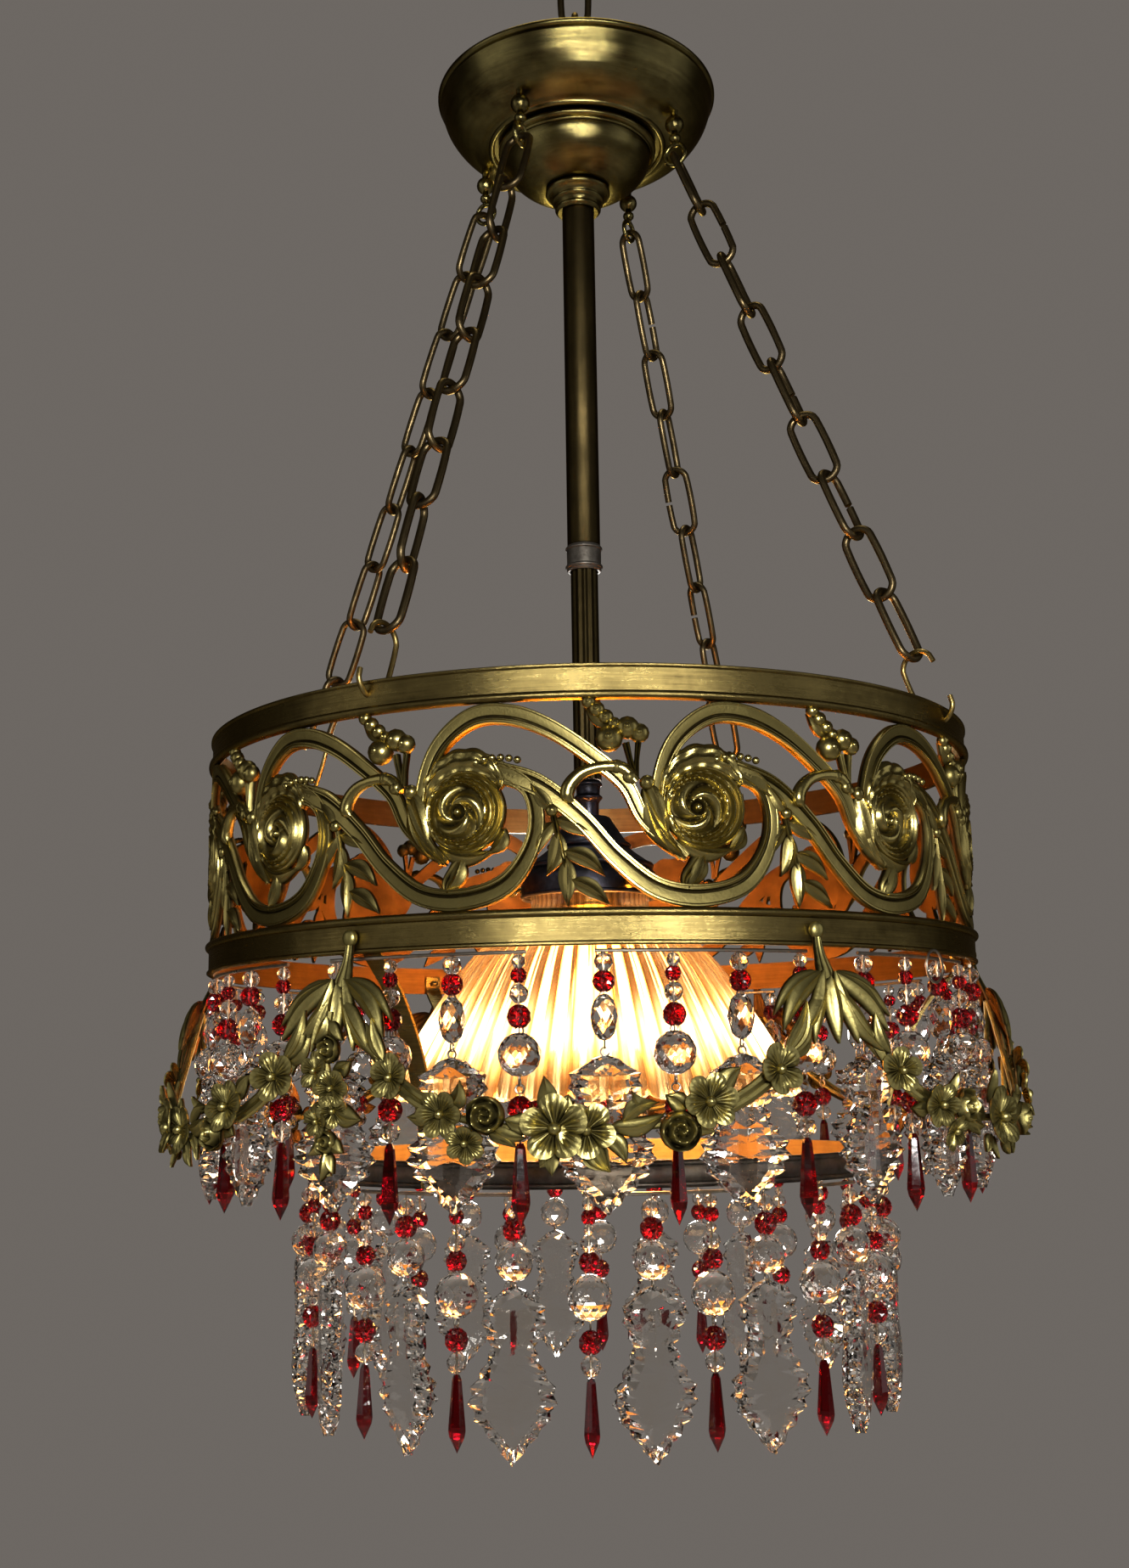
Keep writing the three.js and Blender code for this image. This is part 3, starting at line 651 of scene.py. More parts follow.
def stem():
    top, foot = ends("stem_tube")
    outline = [(7.5, top), (8.7, top), (8.7, foot + 0.6), (8.2, foot), (7.5, foot)]
    turned("stem_outer_tube", "stem_tube", outline, 56, STEM, "dark_brass")

    top, foot = ends("stem_sleeve")
    outline = [(7.6, top), (8.9, top), *bead(8.9, top - 1.5, 0.9, 6), (9.1, top - 3.2), (9.0, foot + 4.2),
               *bead(8.9, foot + 2.6, 1.0, 6), (9.2, foot + 0.8), (8.6, foot), (7.6, foot)]
    turned("stem_sleeve_turned", "stem_sleeve", outline, 48, SLEEVE, "dark_brass")

    top, foot = ends("reeded_tube")
    outline = [(5.2, top), (6.8, top), (6.8, foot), (5.2, foot)]
    turned("stem_reeded_tube", "reeded_tube", outline, 120, STEM, "dark_brass", flutes=12, depth=0.055)

    top, foot = ends("stem_coupling")
    outline = [(4.6, top), (6.0, top), *bead(6.3, top - 2, 1.1, 6), (6.2, top - 4), (6.0, top - 7),
               *bead(6.3, top - 9, 1.1, 6), (5.5, top - 12), (5.5, foot), (4.6, foot)]
    turned("stem_coupling_turned", "stem_coupling", outline, 40, BRONZE, "bronze")


# ---- Chains --------------------------------------------------------------------------------------
CHAIN_LINKS = 10
LINK_WIDTH = 18.2
HOOK_WIRE = 2.5  # the bright open link at each chain's foot


def chains():
    """Long links, every second one turned, from the hooks' eyes down to the holes in the top band."""
    for i, azimuth in enumerate(CHAIN_AZIMUTHS):
        node = f"chain_{i + 1}"
        head, foot = polar(60.6, azimuth, -135.6), polar(188.8, azimuth, DRUM_TOP - 5.5)
        down = Vector(foot - head)
        pitch = down.length / CHAIN_LINKS
        aim = down.to_track_quat("-Z", "Y").to_matrix().to_4x4()
        outward = aim.inverted() @ Vector(polar(1, azimuth))
        spin = math.degrees(math.atan2(outward.y, outward.x))
        chain = Shape()
        for k in range(CHAIN_LINKS):
            middle = Vector(head) + down * ((k + 0.5) / CHAIN_LINKS)
            last = k == CHAIN_LINKS - 1
            split = last or (k in (1, 4, 6) and i in (1, 2))
            wire = HOOK_WIRE if last else LINK_WIRE
            width = LINK_WIDTH + 1.5 if last else LINK_WIDTH
            path = oval_path(pitch + 2 * wire - 0.5, width, wire, 0.5 if last else 0.04 if split else 0)
            wobble = rng.normal(0, 11)
            place = shift(*middle) @ aim @ turn(spin + (0 if k % 2 else 90) + wobble)
            chain.add(tube(path, wire / 2, 10, closed=not split), slot=1 if last else 0, matrix=place)
        piece(node + "_links", chain.mesh(node, [DARK, BRIGHT]), "lamp", [node])


# ---- Drum bands and inner ring -------------------------------------------------------------------
def band(name, node, outline, materials, segments=240):
    """A turned hoop whose last outline edge is its inner wall, in the second material."""
    shape = Shape()
    shape.add(lathe(outline, segments))
    for segment in range(segments):
        shape.slots[(segment + 1) * len(outline) - 1] = 1
    piece(name, shape.mesh(name, materials), "lamp", [node])


def bands():
    # How far out of the drum's radius, and how far in from the drum's top or bottom edge.
    profile = [(-SHEET, 0), (0.1, 0), (0.9, 0.5), (0.9, 1.2), (0, 1.9), (0, BAND_HEIGHT - 3.6),
               *bead(0.1, BAND_HEIGHT - 1.9, 1.7)[::-1], (-0.4, BAND_HEIGHT), (-SHEET, BAND_HEIGHT)]
    upper = [(DRUM_RADIUS + out, DRUM_TOP - inset) for out, inset in profile]
    lower = [(DRUM_RADIUS + out, DRUM_BOTTOM + inset) for out, inset in reversed(profile)]
    # Each band's inner wall takes the second material, with the bulb's light painted on.
    band("drum_upper_band", "upper_rim_band", upper, [BAND, PAINTED_LAMPLIT_BRASS])
    band("drum_lower_band", "lower_rim_band", lower, [BAND, PAINTED_LAMPLIT_BRASS])

    r = high("inner_ring")[0]
    top, foot = ends("inner_ring")
    ring = [(r - SHEET, top), (r - 0.3, top), *bead(r - 0.9, top - 1.4, 0.9, 6), (r - 0.2, top - 3),
            (r - 0.2, foot + 3), *bead(r - 0.9, foot + 1.4, 0.9, 6), (r - 0.3, foot), (r - SHEET, foot)]
    band("inner_hoop", "inner_ring", ring, [RING, RING_PAINTED_LAMPLIT], 200)


def brackets():
    """Bent straps that carry the inner ring from the inside of the drum, riveted at both ends."""
    width, thickness = 9.0, 2.2
    path = curve_points([(185.6, -556), (185.6, -565), (169.6, -582), (155.6, -606), (146.3, -634),
                         (143.1, -652), (142.9, -663.4)], 40)
    normal = left_of(path)
    across = np.linspace(-1, 1, 7)
    rows = []
    for side, order in ((1, across), (-1, across[::-1])):
        for s in order:
            p = path + normal * (thickness / 2 * (1 - 0.35 * s * s)) * side
            rows.append(np.stack([np.full(len(p), s * width / 2), -p[:, 0], p[:, 1]], 1))
    skin = np.stack(rows, 1)
    bracket = Shape()
    bracket.add((skin.reshape(-1, 3), capped_faces(*skin.shape[:2])))
    for z, radius in ((-560, 184.2), (-658, 141.5)):
        bracket.add(ball(2.6, 6, 14, 0.7), matrix=shift(0, -radius, z))
    mesh = bracket.mesh("ring_bracket", [BAND])
    for i, azimuth in enumerate((-30, 90, 210)):
        node = f"ring_bracket_{i + 1}"
        piece(node + "_strap", mesh, "lamp", [node], turn(azimuth))


# ---- Lamp holder, gallery, shade and bulb --------------------------------------------------------
def gallery():
    top, foot = ends("shade_gallery")
    outline = [(10.6, top), (11, top - 0.2), (14, top - 5), (19, top - 12.5), *bead(20.5, top - 15, 1.2, 6),
               (24, top - 19), (30.5, top - 23.6), *bead(31.4, top - 25.6, 1.6, 7), (33.6, top - 29),
               (35, top - 32), (35, foot + 2), *bead(34.4, foot + 1.2, 1.2, 6)]
    turned("gallery_cap", "shade_gallery", shell(outline, 1.1), 90, BRONZE, "bronze")

    outline = [(0, 33.6), (1.4, 33.9), (1.5, 37), (2.0, 37.3), (3.2, 37.7), (3.3, 39), (3.2, 41), (2.6, 41.8),
               (0, 42)]
    screw = Shape()
    screw.add(lathe(outline, 30, 10, 0.05),
              matrix=shift(0, 0, sum(ends("gallery_screw_1")) / 2) @ Matrix.Rotation(math.pi / 2, 4, "X"))
    mesh = screw.mesh("gallery_screw", [SPUN])
    for i, azimuth in enumerate((30, 150, 270)):
        node = f"gallery_screw_{i + 1}"
        piece(node + "_knurled", mesh, f"screw_{i + 1}", [node], turn(azimuth))

    top, foot = ends("lamp_holder")
    outline = [(6.5, top), (8, top), (9.2, top - 3), (13.8, top - 13), (16, top - 17),
               *bead(16, top - 19, 0.9, 5), (16.2, top - 21), (16.2, foot + 3), *bead(16, foot + 1.6, 0.9, 5),
               (16, foot), (14.7, foot), (14.7, top - 20), (11, top - 18)]
    turned("holder_skirt", "lamp_holder", outline, 60, SPUN, "spun_brass")


def bulb():
    top, foot = ends("bulb_cap")
    steps = 7 * 6  # seven threads of six points
    threads = [(12.4 + 0.6 * math.cos(FULL_TURN * k / 6), top - 5 - k * (top - foot - 7) / steps)
               for k in range(steps)]
    outline = [(0, top), (4, top), (4.6, top - 2), (11, top - 4), *threads, (12.4, foot + 1), (12.2, foot),
               (0, foot)]
    cap = Shape()
    cap.add(lathe(outline, 48))
    piece("bulb_screw_cap", cap.mesh("bulb_cap", [TIN]), "bulb", ["bulb_cap"])

    top, foot = ends("light_bulb")
    pear = rounded([(12.4, top, 1), (13.6, top - 8), (20, top - 20), (29.4, top - 33), (29.6, top - 52),
                    (20, foot + 3.4), (0, foot, 1)], 8)
    verts, faces = lathe(np.vstack([[(0, top)], pear]), 56)
    envelope = Shape()
    envelope.add((verts, faces))
    glow = np.clip((top - verts[:, 2]) / (top - foot) * 1.6, 0, 1)
    mesh = envelope.mesh("light_bulb", [BULB], glow=glow)
    piece("bulb_envelope", mesh, "bulb", ["light_bulb"])


def shade():
    """A pressed bell of glass: fine ribs that swell towards a scalloped rim."""
    ribs, around, down = 54, 54 * 12, 46
    top, foot = ends("glass_shade")
    rim = high("glass_shade")[0]
    outer = curve_points([(31, top), (31, top - 13), (43.5, top - 20), (64, top - 40), (83, top - 67),
                          (98, top - 92), (rim - 0.3, foot + 1.2)], down)
    share = np.linspace(0, 1, down)[:, None]
    angles = circle(around)
    wave = np.abs(np.cos(ribs / 2 * angles)) ** 0.8
    fine = 0.5 + 0.5 * np.cos(ribs * 3 * angles)
    depth = np.clip((share - 0.12) / 0.25, 0, 1) * (1.2 + 2.0 * share)
    scallop = np.clip((share - 0.86) / 0.14, 0, 1) ** 2
    radius = outer[:, :1] - depth * (1 - wave) - 0.35 * depth * fine * 0.6
    z = outer[:, 1:] + scallop * 2.6 * (1 - wave)
    inner_radius = (outer[:, :1] - 3.0 - depth * 0.9) * np.ones(around)
    inner_z = z.copy()
    inner_z[-1] += 0.5
    walls = []
    for r, height in ((radius, z), (inner_radius[::-1], inner_z[::-1])):
        walls.append(np.stack([r * np.cos(angles), r * np.sin(angles), height], -1))
    faces = [face[::-1] for face in grid_faces(2 * down, around, True, True)]
    # The ribs' relief sets where the painted tint and glow fall.
    lines = wave * (0.6 + 0.4 * fine) * np.ones((down, 1))
    relief = np.concatenate([lines, np.full((down, around), 0.4)])
    bell = Shape()
    bell.add((np.concatenate(walls).reshape(-1, 3), faces, relief.reshape(-1)))
    # Painted light: the glow is brightest in a band at the bulb's height, the same all round.
    painted_bulb_glow = (0.03 + 1.4 * np.exp(-((share - 0.73) / 0.11) ** 2)) * np.ones(around)
    glow = np.concatenate([painted_bulb_glow, painted_bulb_glow[::-1]]).reshape(-1)
    mesh = bell.mesh("glass_shade", [SHADE], glow=glow)
    piece("shade_bell", mesh, "lamp", ["glass_shade"])


# ---- Ornament helpers ----------------------------------------------------------------------------
def unroll(radius, z):
    """A function that wraps flat (u, v, w) ornament, in millimetres, round the drum."""
    def wrap(points):
        angle = points[:, 0] / radius
        out = radius + points[:, 2]
        return np.stack([out * np.sin(angle), -out * np.cos(angle), z + points[:, 1]], 1)
    return wrap


# Cross-sections as (place across the width, height).
STRAP = [(-0.5, 0.6), (-0.49, 2.2), (-0.45, 2.75), (-0.39, 2.75), (-0.35, 2.35), (-0.32, 2.3), (0.05, 2.3),
         (0.08, 2.2), (0.12, 1.3), (0.17, 1.2), (0.22, 1.8), (0.25, 2.9), (0.29, 2.9), (0.32, 2.1),
         (0.36, 2.1), (0.39, 3.0), (0.45, 3.0), (0.49, 2.2), (0.5, 0.6)]
REED = [(-0.5, 0.4), (-0.4, 1.7), (-0.25, 2.2), (-0.08, 1.5), (0.0, 1.0), (0.08, 1.5), (0.25, 2.2),
        (0.4, 1.7), (0.5, 0.4)]
FLUTES = [(-0.5, 0.2), (-0.42, 1.5), (-0.3, 1.9), (-0.2, 1.2), (-0.1, 2.5), (0, 2.9), (0.1, 2.5), (0.2, 1.2),
          (0.3, 1.9), (0.42, 1.5), (0.5, 0.2)]


def strap(shape, points, widths, samples, section=STRAP, side=1, lift=0.0, swell=1.0, back=FLAT_BACK):
    """A cast strap swept along a line; its ridged edge lies to the left of the way it runs, or right."""
    line = curve_points(points, samples)
    left = left_of(line[:, :2]) * side
    width = np.interp(np.linspace(0, 1, samples), np.linspace(0, 1, len(widths)), widths)[:, None]
    across, height = np.array(section).T
    flat = line[:, None, :2] + left[:, None] * (across * width)[..., None]
    level = height * np.clip(width / max(widths) * 1.3, 0.35, 1) * swell + lift
    if line.shape[1] > 2:
        level = level + line[:, 2:]
    relief = np.clip((height - 1.2) / 1.9, 0, 1) * np.ones((samples, 1))
    shape.add(solid_sheet(np.concatenate([flat, level[..., None]], -1), relief, back))


def leaf(shape, base, tip, width, rise, sway=0.0, lift=0.6, ribs=2, curl=0.0, back=FLAT_BACK, blunt=1.0):
    """A pointed leaf: raised along the middle rib, grooved, swaying to a side, curling at its tip."""
    base, tip = np.array(base, float), np.array(tip, float)
    run = tip[:2] - base[:2]
    length = np.linalg.norm(run)
    left = np.array([-run[1], run[0]]) / length
    t = np.linspace(0, 1, 15)[:, None]
    s = np.linspace(-1, 1, 9)[None]
    half = width / 2 * np.sin(math.pi * t**0.75) ** blunt + 0.22 * (1 - t)
    middle = base[:2] + run * t[..., None] + left * (sway * length * np.sin(math.pi * t))[..., None]
    flat = middle + left * (s * half)[..., None]
    groove = np.cos(s * math.pi * ribs) * (0.12 + 0.03 * width) * np.sin(math.pi * t) ** 0.5
    body = rise * np.sin(math.pi * (0.12 + 0.82 * t)) ** 0.6 * (1 - 0.9 * np.abs(s) ** 1.6)
    level = lift + body + groove + curl * t**2
    if len(base) > 2:
        level = level + base[2] + (tip[2] - base[2]) * t
    relief = np.clip((body + groove) / rise, 0, 1)
    shape.add(solid_sheet(np.concatenate([flat, level[..., None]], -1), relief, back))


def knob(shape, place, radius, lift, squash=0.9):
    """A small cast berry, half sunk in what carries it."""
    arc = np.linspace(0, math.pi, 8)
    verts, faces = lathe([(radius * math.sin(a), radius * squash * math.cos(a)) for a in arc], 12)
    shape.add((verts + (*place, lift), faces, np.clip(0.25 + verts[:, 2] / radius * 0.7, 0, 1)))


def disc(shape, centre, radius, height_of, rings, sectors, high, lift=0.0, back=FLAT_BACK):
    """A round boss whose height comes from a function of the distance and the angle."""
    r = np.linspace(0.02, 1, rings)[:, None] * radius
    a = circle(sectors)[None]
    level = height_of(r, a)
    x, y = centre[0] + r * np.cos(a), centre[1] + r * np.sin(a)
    top = np.stack([x, y, level + lift], -1).reshape(-1, 3)
    base = np.stack([x[-1], y[-1], np.full(sectors, back)], -1)
    relief = np.concatenate([np.clip(level.reshape(-1) / high, 0, 1), np.full(sectors, -1.0)])
    shape.add((np.vstack([top, base]), capped_faces(rings + 1, sectors), relief))


# ---- Pierced scroll frieze -----------------------------------------------------------------------
REPEATS = 12
FRIEZE_TURN = -1.3  # degrees: the scroll pattern starts a little to the left of the front
EYE = (0, 40.5)
LOWER_WAVE = [(10, 57.5), (30, 50.3), (47.4, 36.3), (62, 19.8), (78.3, 7.4), (97.4, 4.8), (116, 11.3),
              (126.8, 29.8), (124.8, 47.9), (111.3, 57.9)]
UPPER_WAVE = [(-9.6, 20.3), (-18, 31.7), (-18.8, 48.9), (-11.8, 67.4), (2.7, 79.2), (19.1, 79.8),
              (35.5, 73.4), (51.9, 61.9), (65.6, 49.6), (73.5, 34.5), (89.9, 20.3)]
TENDRIL = [(69.8, 50.5), (64.5, 56.2), (56, 56.8), (48.4, 54.6), (43.6, 50), (42.2, 45.6), (44.6, 42.6)]
TWIGS = (  # line, widths, samples, swell: under the eye, twice under the berries, down the spray
    ([(1, 23), (-4.6, 16.5), (-8.4, 12), (-8.9, 7.2)], (4.5, 7.5, 5, 1.5), 20, 1.1),
    ([(66.3, 67), (67.6, 61), (69.4, 54)], (3.0, 2.4, 2.8), 10, 1.0),
    ([(71.5, 68), (70.6, 60), (70.2, 53)], (2.6, 2.0, 2.4), 10, 1.0),
    ([(36, 39.4), (38, 30), (41, 18), (43.4, 8)], (2.6, 2.4, 2.2, 1.4), 16, 1.0),
)
PANEL_LEAVES = (  # base, tip, width, rise, sway, lift, ribs
    # Under the eye, and round the foot of the arch on its left.
    ((-12, 27), (13.5, 24.5), 7.5, 2.6, -0.16, 0.6, 3),
    ((17, 33), (9, 22.5), 6.0, 2.2, 0.15),
    ((-1, 21.5), (-8.6, 6.8), 6.5, 2.4, 0.1, 1.2),
    ((-24.5, 46), (-13, 20.5), 6.6, 3.0, -0.12, 1.0),
    ((-21, 36), (-8, 19), 5.2, 2.6, -0.1, 1.6),
    # Beside the berries, and the sheath of two leaves at the crossing.
    ((61.5, 74), (49.4, 83), 5.2, 2.2, 0.1, 0.4),
    ((74.5, 51.5), (82, 24), 8.6, 3.2, 0.06, 1.0, 3),
    ((72.4, 48), (90, 19), 6.6, 2.8, -0.08, 1.4),
    # The spray that hangs from a bud on the lower wave.
    ((36, 39.4), (27.2, 51), 5.6, 1.6, 0.0, 2.0),
    ((37.6, 36), (54, 28.4), 7.4, 1.9, 0.06),
    ((36.8, 35), (28.6, 20.5), 6.4, 1.9, -0.1),
    ((38.4, 31), (33.4, 13.2), 7.4, 1.9, 0.1),
    ((40.4, 23), (56.8, 12.6), 7.2, 1.9, 0.12),
    ((41.6, 20), (41.8, 0.4), 7.0, 1.9),
    ((43, 11.5), (58.6, 0.9), 7.0, 1.9, 0.08),
)
BERRIES = (((59.4, 68.6), 5.7), ((66.9, 73.0), 4.9), ((71.6, 70.8), 4.2), ((51.4, 84.0), 3.0),
           ((54.6, 80.8), 3.4), ((58.2, 77.6), 3.3), ((61.6, 74.8), 2.8))
BEADS = (  # place, radius, lift, squash: over the eye, on the tendril, on the sheath and the bud
    ((5.2, 60.4), 1.6, 2.9), ((8.6, 61.4), 1.6, 2.9), ((12, 61.9), 1.6, 2.9),
    ((15.6, 61.9), 1.6, 2.9), ((19, 61.4), 1.6, 2.9), ((22.4, 60.6), 1.6, 2.9),
    ((62.2, 56.8), 3.0, 2.6, 0.8), ((67.2, 52.6), 3.0, 2.6, 0.8),
    ((74.3, 50.3), 3.2, 2.2), ((36, 39.4), 2.6, 2.2),
)


def ridge(distance, width, power=2):
    return np.exp(-((distance / width) ** power))


def whirl(r, a):
    """Heights of the scroll's eye: three nested rings that touch at the left, three commas and a bead."""
    x, y = r * np.cos(a), r * np.sin(a)
    height = np.full(x.shape, 1.1)
    for aside, size, rise in ((0.0, 16.3, 2.2), (1.5, 14.3, 2.6), (2.9, 12.0, 3.2)):
        height = np.maximum(height, 1.1 + rise * ridge(np.hypot(x + aside, y) - size, 1.0))
    near = np.hypot(x + 2.9, y)
    around = np.arctan2(y, x + 2.9)
    commas = np.abs(np.cos(1.5 * (around + 1.5 * np.log(np.maximum(near, 0.6) / 12)))) ** 0.9
    field = 0.2 + 3.9 * commas * np.sin(math.pi * np.clip((near - 2.6) / 8.6, 0, 1) ** 0.85) ** 0.6
    field = np.maximum(field, 0.2 + 2.6 * ridge(near - 3.6, 0.7))
    field = np.maximum(field, 3.9 * ridge(near, 1.8, 4))
    inside = 1 / (1 + np.exp((near - 11.2) / 0.2))
    return inside * field + (1 - inside) * height


def acanthus(shape, centre, start, end, inner, outer):
    """A fan of ribbed leaf laid over the top of a scroll's eye."""
    t = np.linspace(0, 1, 46)[:, None]
    s = np.linspace(0, 1, 13)[None]
    angle = np.radians(start + (end - start) * t)
    reach = np.sin(math.pi * t**0.8) ** 0.7 + 0.09 * np.abs(np.sin(7 * math.pi * t))
    r = inner + (outer - inner) * reach * s
    x, y = centre[0] + r * np.cos(angle), centre[1] + r * np.sin(angle)
    body = 1.4 + 2.4 * np.sin(math.pi * (0.1 + 0.8 * s)) * np.sin(math.pi * (0.08 + 0.84 * t)) ** 0.5
    level = body + 0.45 * np.cos(s * math.pi * 5) + 0.3 * np.cos(14 * math.pi * t + 5 * s)
    shape.add(solid_sheet(np.stack([x, y, level], -1), np.clip((level - 1) / 3, 0, 1), FLAT_BACK))


def frieze_panel():
    """One repeat of the running scroll, laid out flat: u along the drum, v up, w outwards."""
    panel = Shape()
    strap(panel, LOWER_WAVE, (9, 9.5, 8, 7.6, 8.6, 9.6, 9, 7, 6.5, 8), 90)
    strap(panel, UPPER_WAVE, (4, 5.6, 6.2, 7.5, 8.8, 8.6, 7.4, 7, 6.4, 5.5, 4), 90, side=-1, lift=0.4)
    disc(panel, EYE, 17.2, whirl, 40, 110, 3.8)
    acanthus(panel, EYE, 28, 172, 16.2, 26)
    for line, widths, samples, swell in TWIGS:
        strap(panel, line, widths, samples, REED, swell=swell)
    for row in PANEL_LEAVES:
        leaf(panel, *row)
    for row in BEADS:
        knob(panel, *row)
    for (u, v), radius in BERRIES:
        knob(panel, (u, v), radius, 1.6)
        knob(panel, (u - radius * 0.1, v + 0.1), radius * 0.3, 1.6 + radius * 0.74)
    line = curve_points([(u, v, 2.2) for u, v in TENDRIL], 30)
    thick = np.interp(np.linspace(0, 1, 30), (0, 0.2, 0.5, 0.75, 0.92, 1), (2.2, 2.7, 2.3, 2.9, 3.1, 1.0))
    verts, faces = tube(line, thick, 12)
    panel.add((verts, faces, np.clip(verts[:, 2] / 4.5, 0, 1)))
    return panel


def frieze():
    wrap = unroll(DRUM_RADIUS - SHEET - 0.6, DRUM_BOTTOM + BAND_HEIGHT)
    mesh = frieze_panel().mesh("scroll_panel", [CAST], bend=wrap)
    for i in range(REPEATS):
        azimuth = -15 + FRIEZE_TURN + 360 * i / REPEATS
        replaced = ["scroll_frieze"] if i == 0 else []
        piece(f"frieze_scroll_{i + 1}", mesh, "lamp", replaced, turn(azimuth))


# ---- Garland -------------------------------------------------------------------------------------
GARLAND_RADIUS = 204.0
GARLAND_LOW, GARLAND_MOUNT = -637.0, -580.0
GARLAND_TURN = -2.0
DEGREE = GARLAND_RADIUS * math.pi / 180  # millimetres round the drum per degree

# Places on a swag are (degrees from its middle, how far above its line, how far out).
SWAG_LEAVES = (  # base, tip, width, rise, sway, ribs, curl
    # The left-hand fall.
    ((-29.2, 8, -1), (-23, 2, 1), 7.5, 2.4, -0.12, 3),
    ((-28, 0, -1), (-22.4, -7, 1), 6, 2.0, 0.1, 2),
    ((-22.6, 4, 1), (-24.4, 15, 0.5), 6.5, 1.6, 0.1, 3),
    ((-14.6, 2, 1.5), (-12.9, 15, 2.5), 6.8, 2.4, -0.18, 2, 2.2),
    ((-16.6, -3, 0.5), (-19.6, -9.5, 0.5), 6.4, 1.6, 0.1, 3),
    ((-10, -3, 1), (-7.0, -7.5, 1.5), 6.0, 1.6, 0.12, 2),
    ((-9.4, -1, 1.6), (-5.8, -3.6, 2.2), 5.0, 1.6, -0.1, 2),
    # The group at the middle.
    ((-5.2, 2, 1), (-8.4, 3, 1), 8.5, 1.6, 0.1, 3),
    ((-4, 6, 1.5), (-3.9, 20, 2.5), 7.6, 2.6, -0.1, 2, 2.2),
    ((-2.6, 4, 1), (-1.4, 13, 1.2), 8.2, 1.6, -0.1, 3),
    ((-3.4, -7, 0.5), (-4.6, -14.6, 0.5), 7.8, 1.6, 0.1, 3),
    ((-2.8, -8, 0.8), (-3.2, -17.5, 1.8), 5.6, 1.6, -0.12, 2, 1.6),
    ((1.0, -4, 0.8), (2.9, -16.5, 0.8), 10.2, 1.6, -0.14, 4),
    ((2.2, -2, 0.4), (4.6, -13.5, 0.2), 7.2, 1.6, 0.14, 3),
    # The right-hand rise.
    ((3.0, 0.6, 1.2), (8.8, 4.4, 2.0), 7.6, 2.4, -0.12, 3),
    ((4.2, 2.4, 2.0), (8.2, 8.6, 2.2), 6.4, 2.2, 0.16, 2),
    ((7.4, 7, 1.5), (5.2, 13.6, 2), 5.4, 1.6, 0.2, 2, 1.8),
    ((11, 4, 1), (8.8, 11, 1), 7.8, 1.6, -0.1, 3),
    ((11.4, -3, 1), (14.2, -7.5, 0.8), 8.0, 1.6, 0.16, 3),
    ((15, 6, 1.2), (17.4, 12.4, 1.2), 8.0, 1.6, 0.14, 3),
    ((23, 3, 1.5), (26, 12, 1.5), 8.4, 1.6, -0.12, 4),
    ((23.2, 1, 0.8), (26.6, 0.6, 0.5), 6.4, 1.6, -0.16, 2),
    ((29.2, 8, -1), (24.4, 4, 1.2), 7.5, 2.4, 0.12, 3),
    ((28.2, 0, -1), (24, -6, 0.5), 5.6, 2.0, -0.1, 2),
)
SWAG_FLOWERS = (  # place, radius, petals, lean along and across, spin
    ((-21.5, 0.6, 2.2), 9.4, 5, (-14, -8), 12),
    ((-15.3, -0.6, 2.4), 9.6, 6, (-8, 6), 0),
    ((-12.6, -8.6, 1.6), 7.8, 6, (4, 22), 30),
    ((0.4, -0.6, 2.4), 10.8, 5, (10, -4), 54),
    ((-2.8, 0.2, 4.4), 12.8, 5, (-6, -6), 20),
    ((13.5, 5.0, 3.0), 11, 6, (8, -8), 10),
    ((21.8, 0.8, 2.6), 10.4, 5, (16, -6), 40),
)
SWAG_ROSES = (((-10.3, 3.4, 2.6), 7.4, 40), ((10.3, -3.2, 2.8), 7.8, 200))
SWAG_STALKS = ((-21, -16), (14.6, 20.8))
# The plume's leaves lie on both sides of it, as base, tip, width, rise and sway.
PLUME_LEAVES = (
    ((3, -577, -7.5), (26, -601, -0.8), 8.8, 2.8, 0.1),
    ((1.5, -582, -6), (11, -606, -2.2), 6.6, 2.6, 0.05),
    ((4, -577, -7.5), (29, -595, -2.6), 6.0, 2.2, 0.12),
    ((2.4, -584, -5), (19, -606, -1.6), 6.8, 2.6, 0.02),
)
BUNCH_LEAVES = (  # base, tip, width, sway
    ((0, -592), (-7, -603), 6, 0.1), ((1, -594), (8, -602), 6, -0.1),
    ((-2, -612), (-13, -620), 7, 0.1), ((3, -614), (12, -610), 7, -0.1),
    ((4, -628), (17, -633), 9, -0.12), ((-3, -626), (-12, -634), 7, 0.12),
    ((-2, -640), (-9, -647), 6, 0.1), ((2, -640), (8.5, -646), 6, -0.1),
    ((0, -645), (-2.4, -657), 6.4, 0.06), ((1, -646), (4, -654), 5, -0.1),
)
BUNCH_FLOWERS = (
    ((-4.6, -613.6, 3.0), 7.6, 5, (-10, -10), 15),
    ((4.2, -620.6, 3.4), 7.8, 6, (10, 4), 0),
    ((4.6, -629.6, 2.6), 6.8, 5, (12, 8), 40),
    ((-3.6, -633.6, 2.8), 6.6, 5, (-12, 6), 8),
)


def drape(degrees, above=0.0, out=0.0):
    """A (u, v, w) place on the swag's line, so many degrees from its middle, or off that line."""
    share = (abs(degrees) / 30) ** 3.2
    height = GARLAND_LOW + (GARLAND_MOUNT - GARLAND_LOW) * share
    return np.array([degrees * DEGREE, height + above, 1.5 - 7 * share + out])


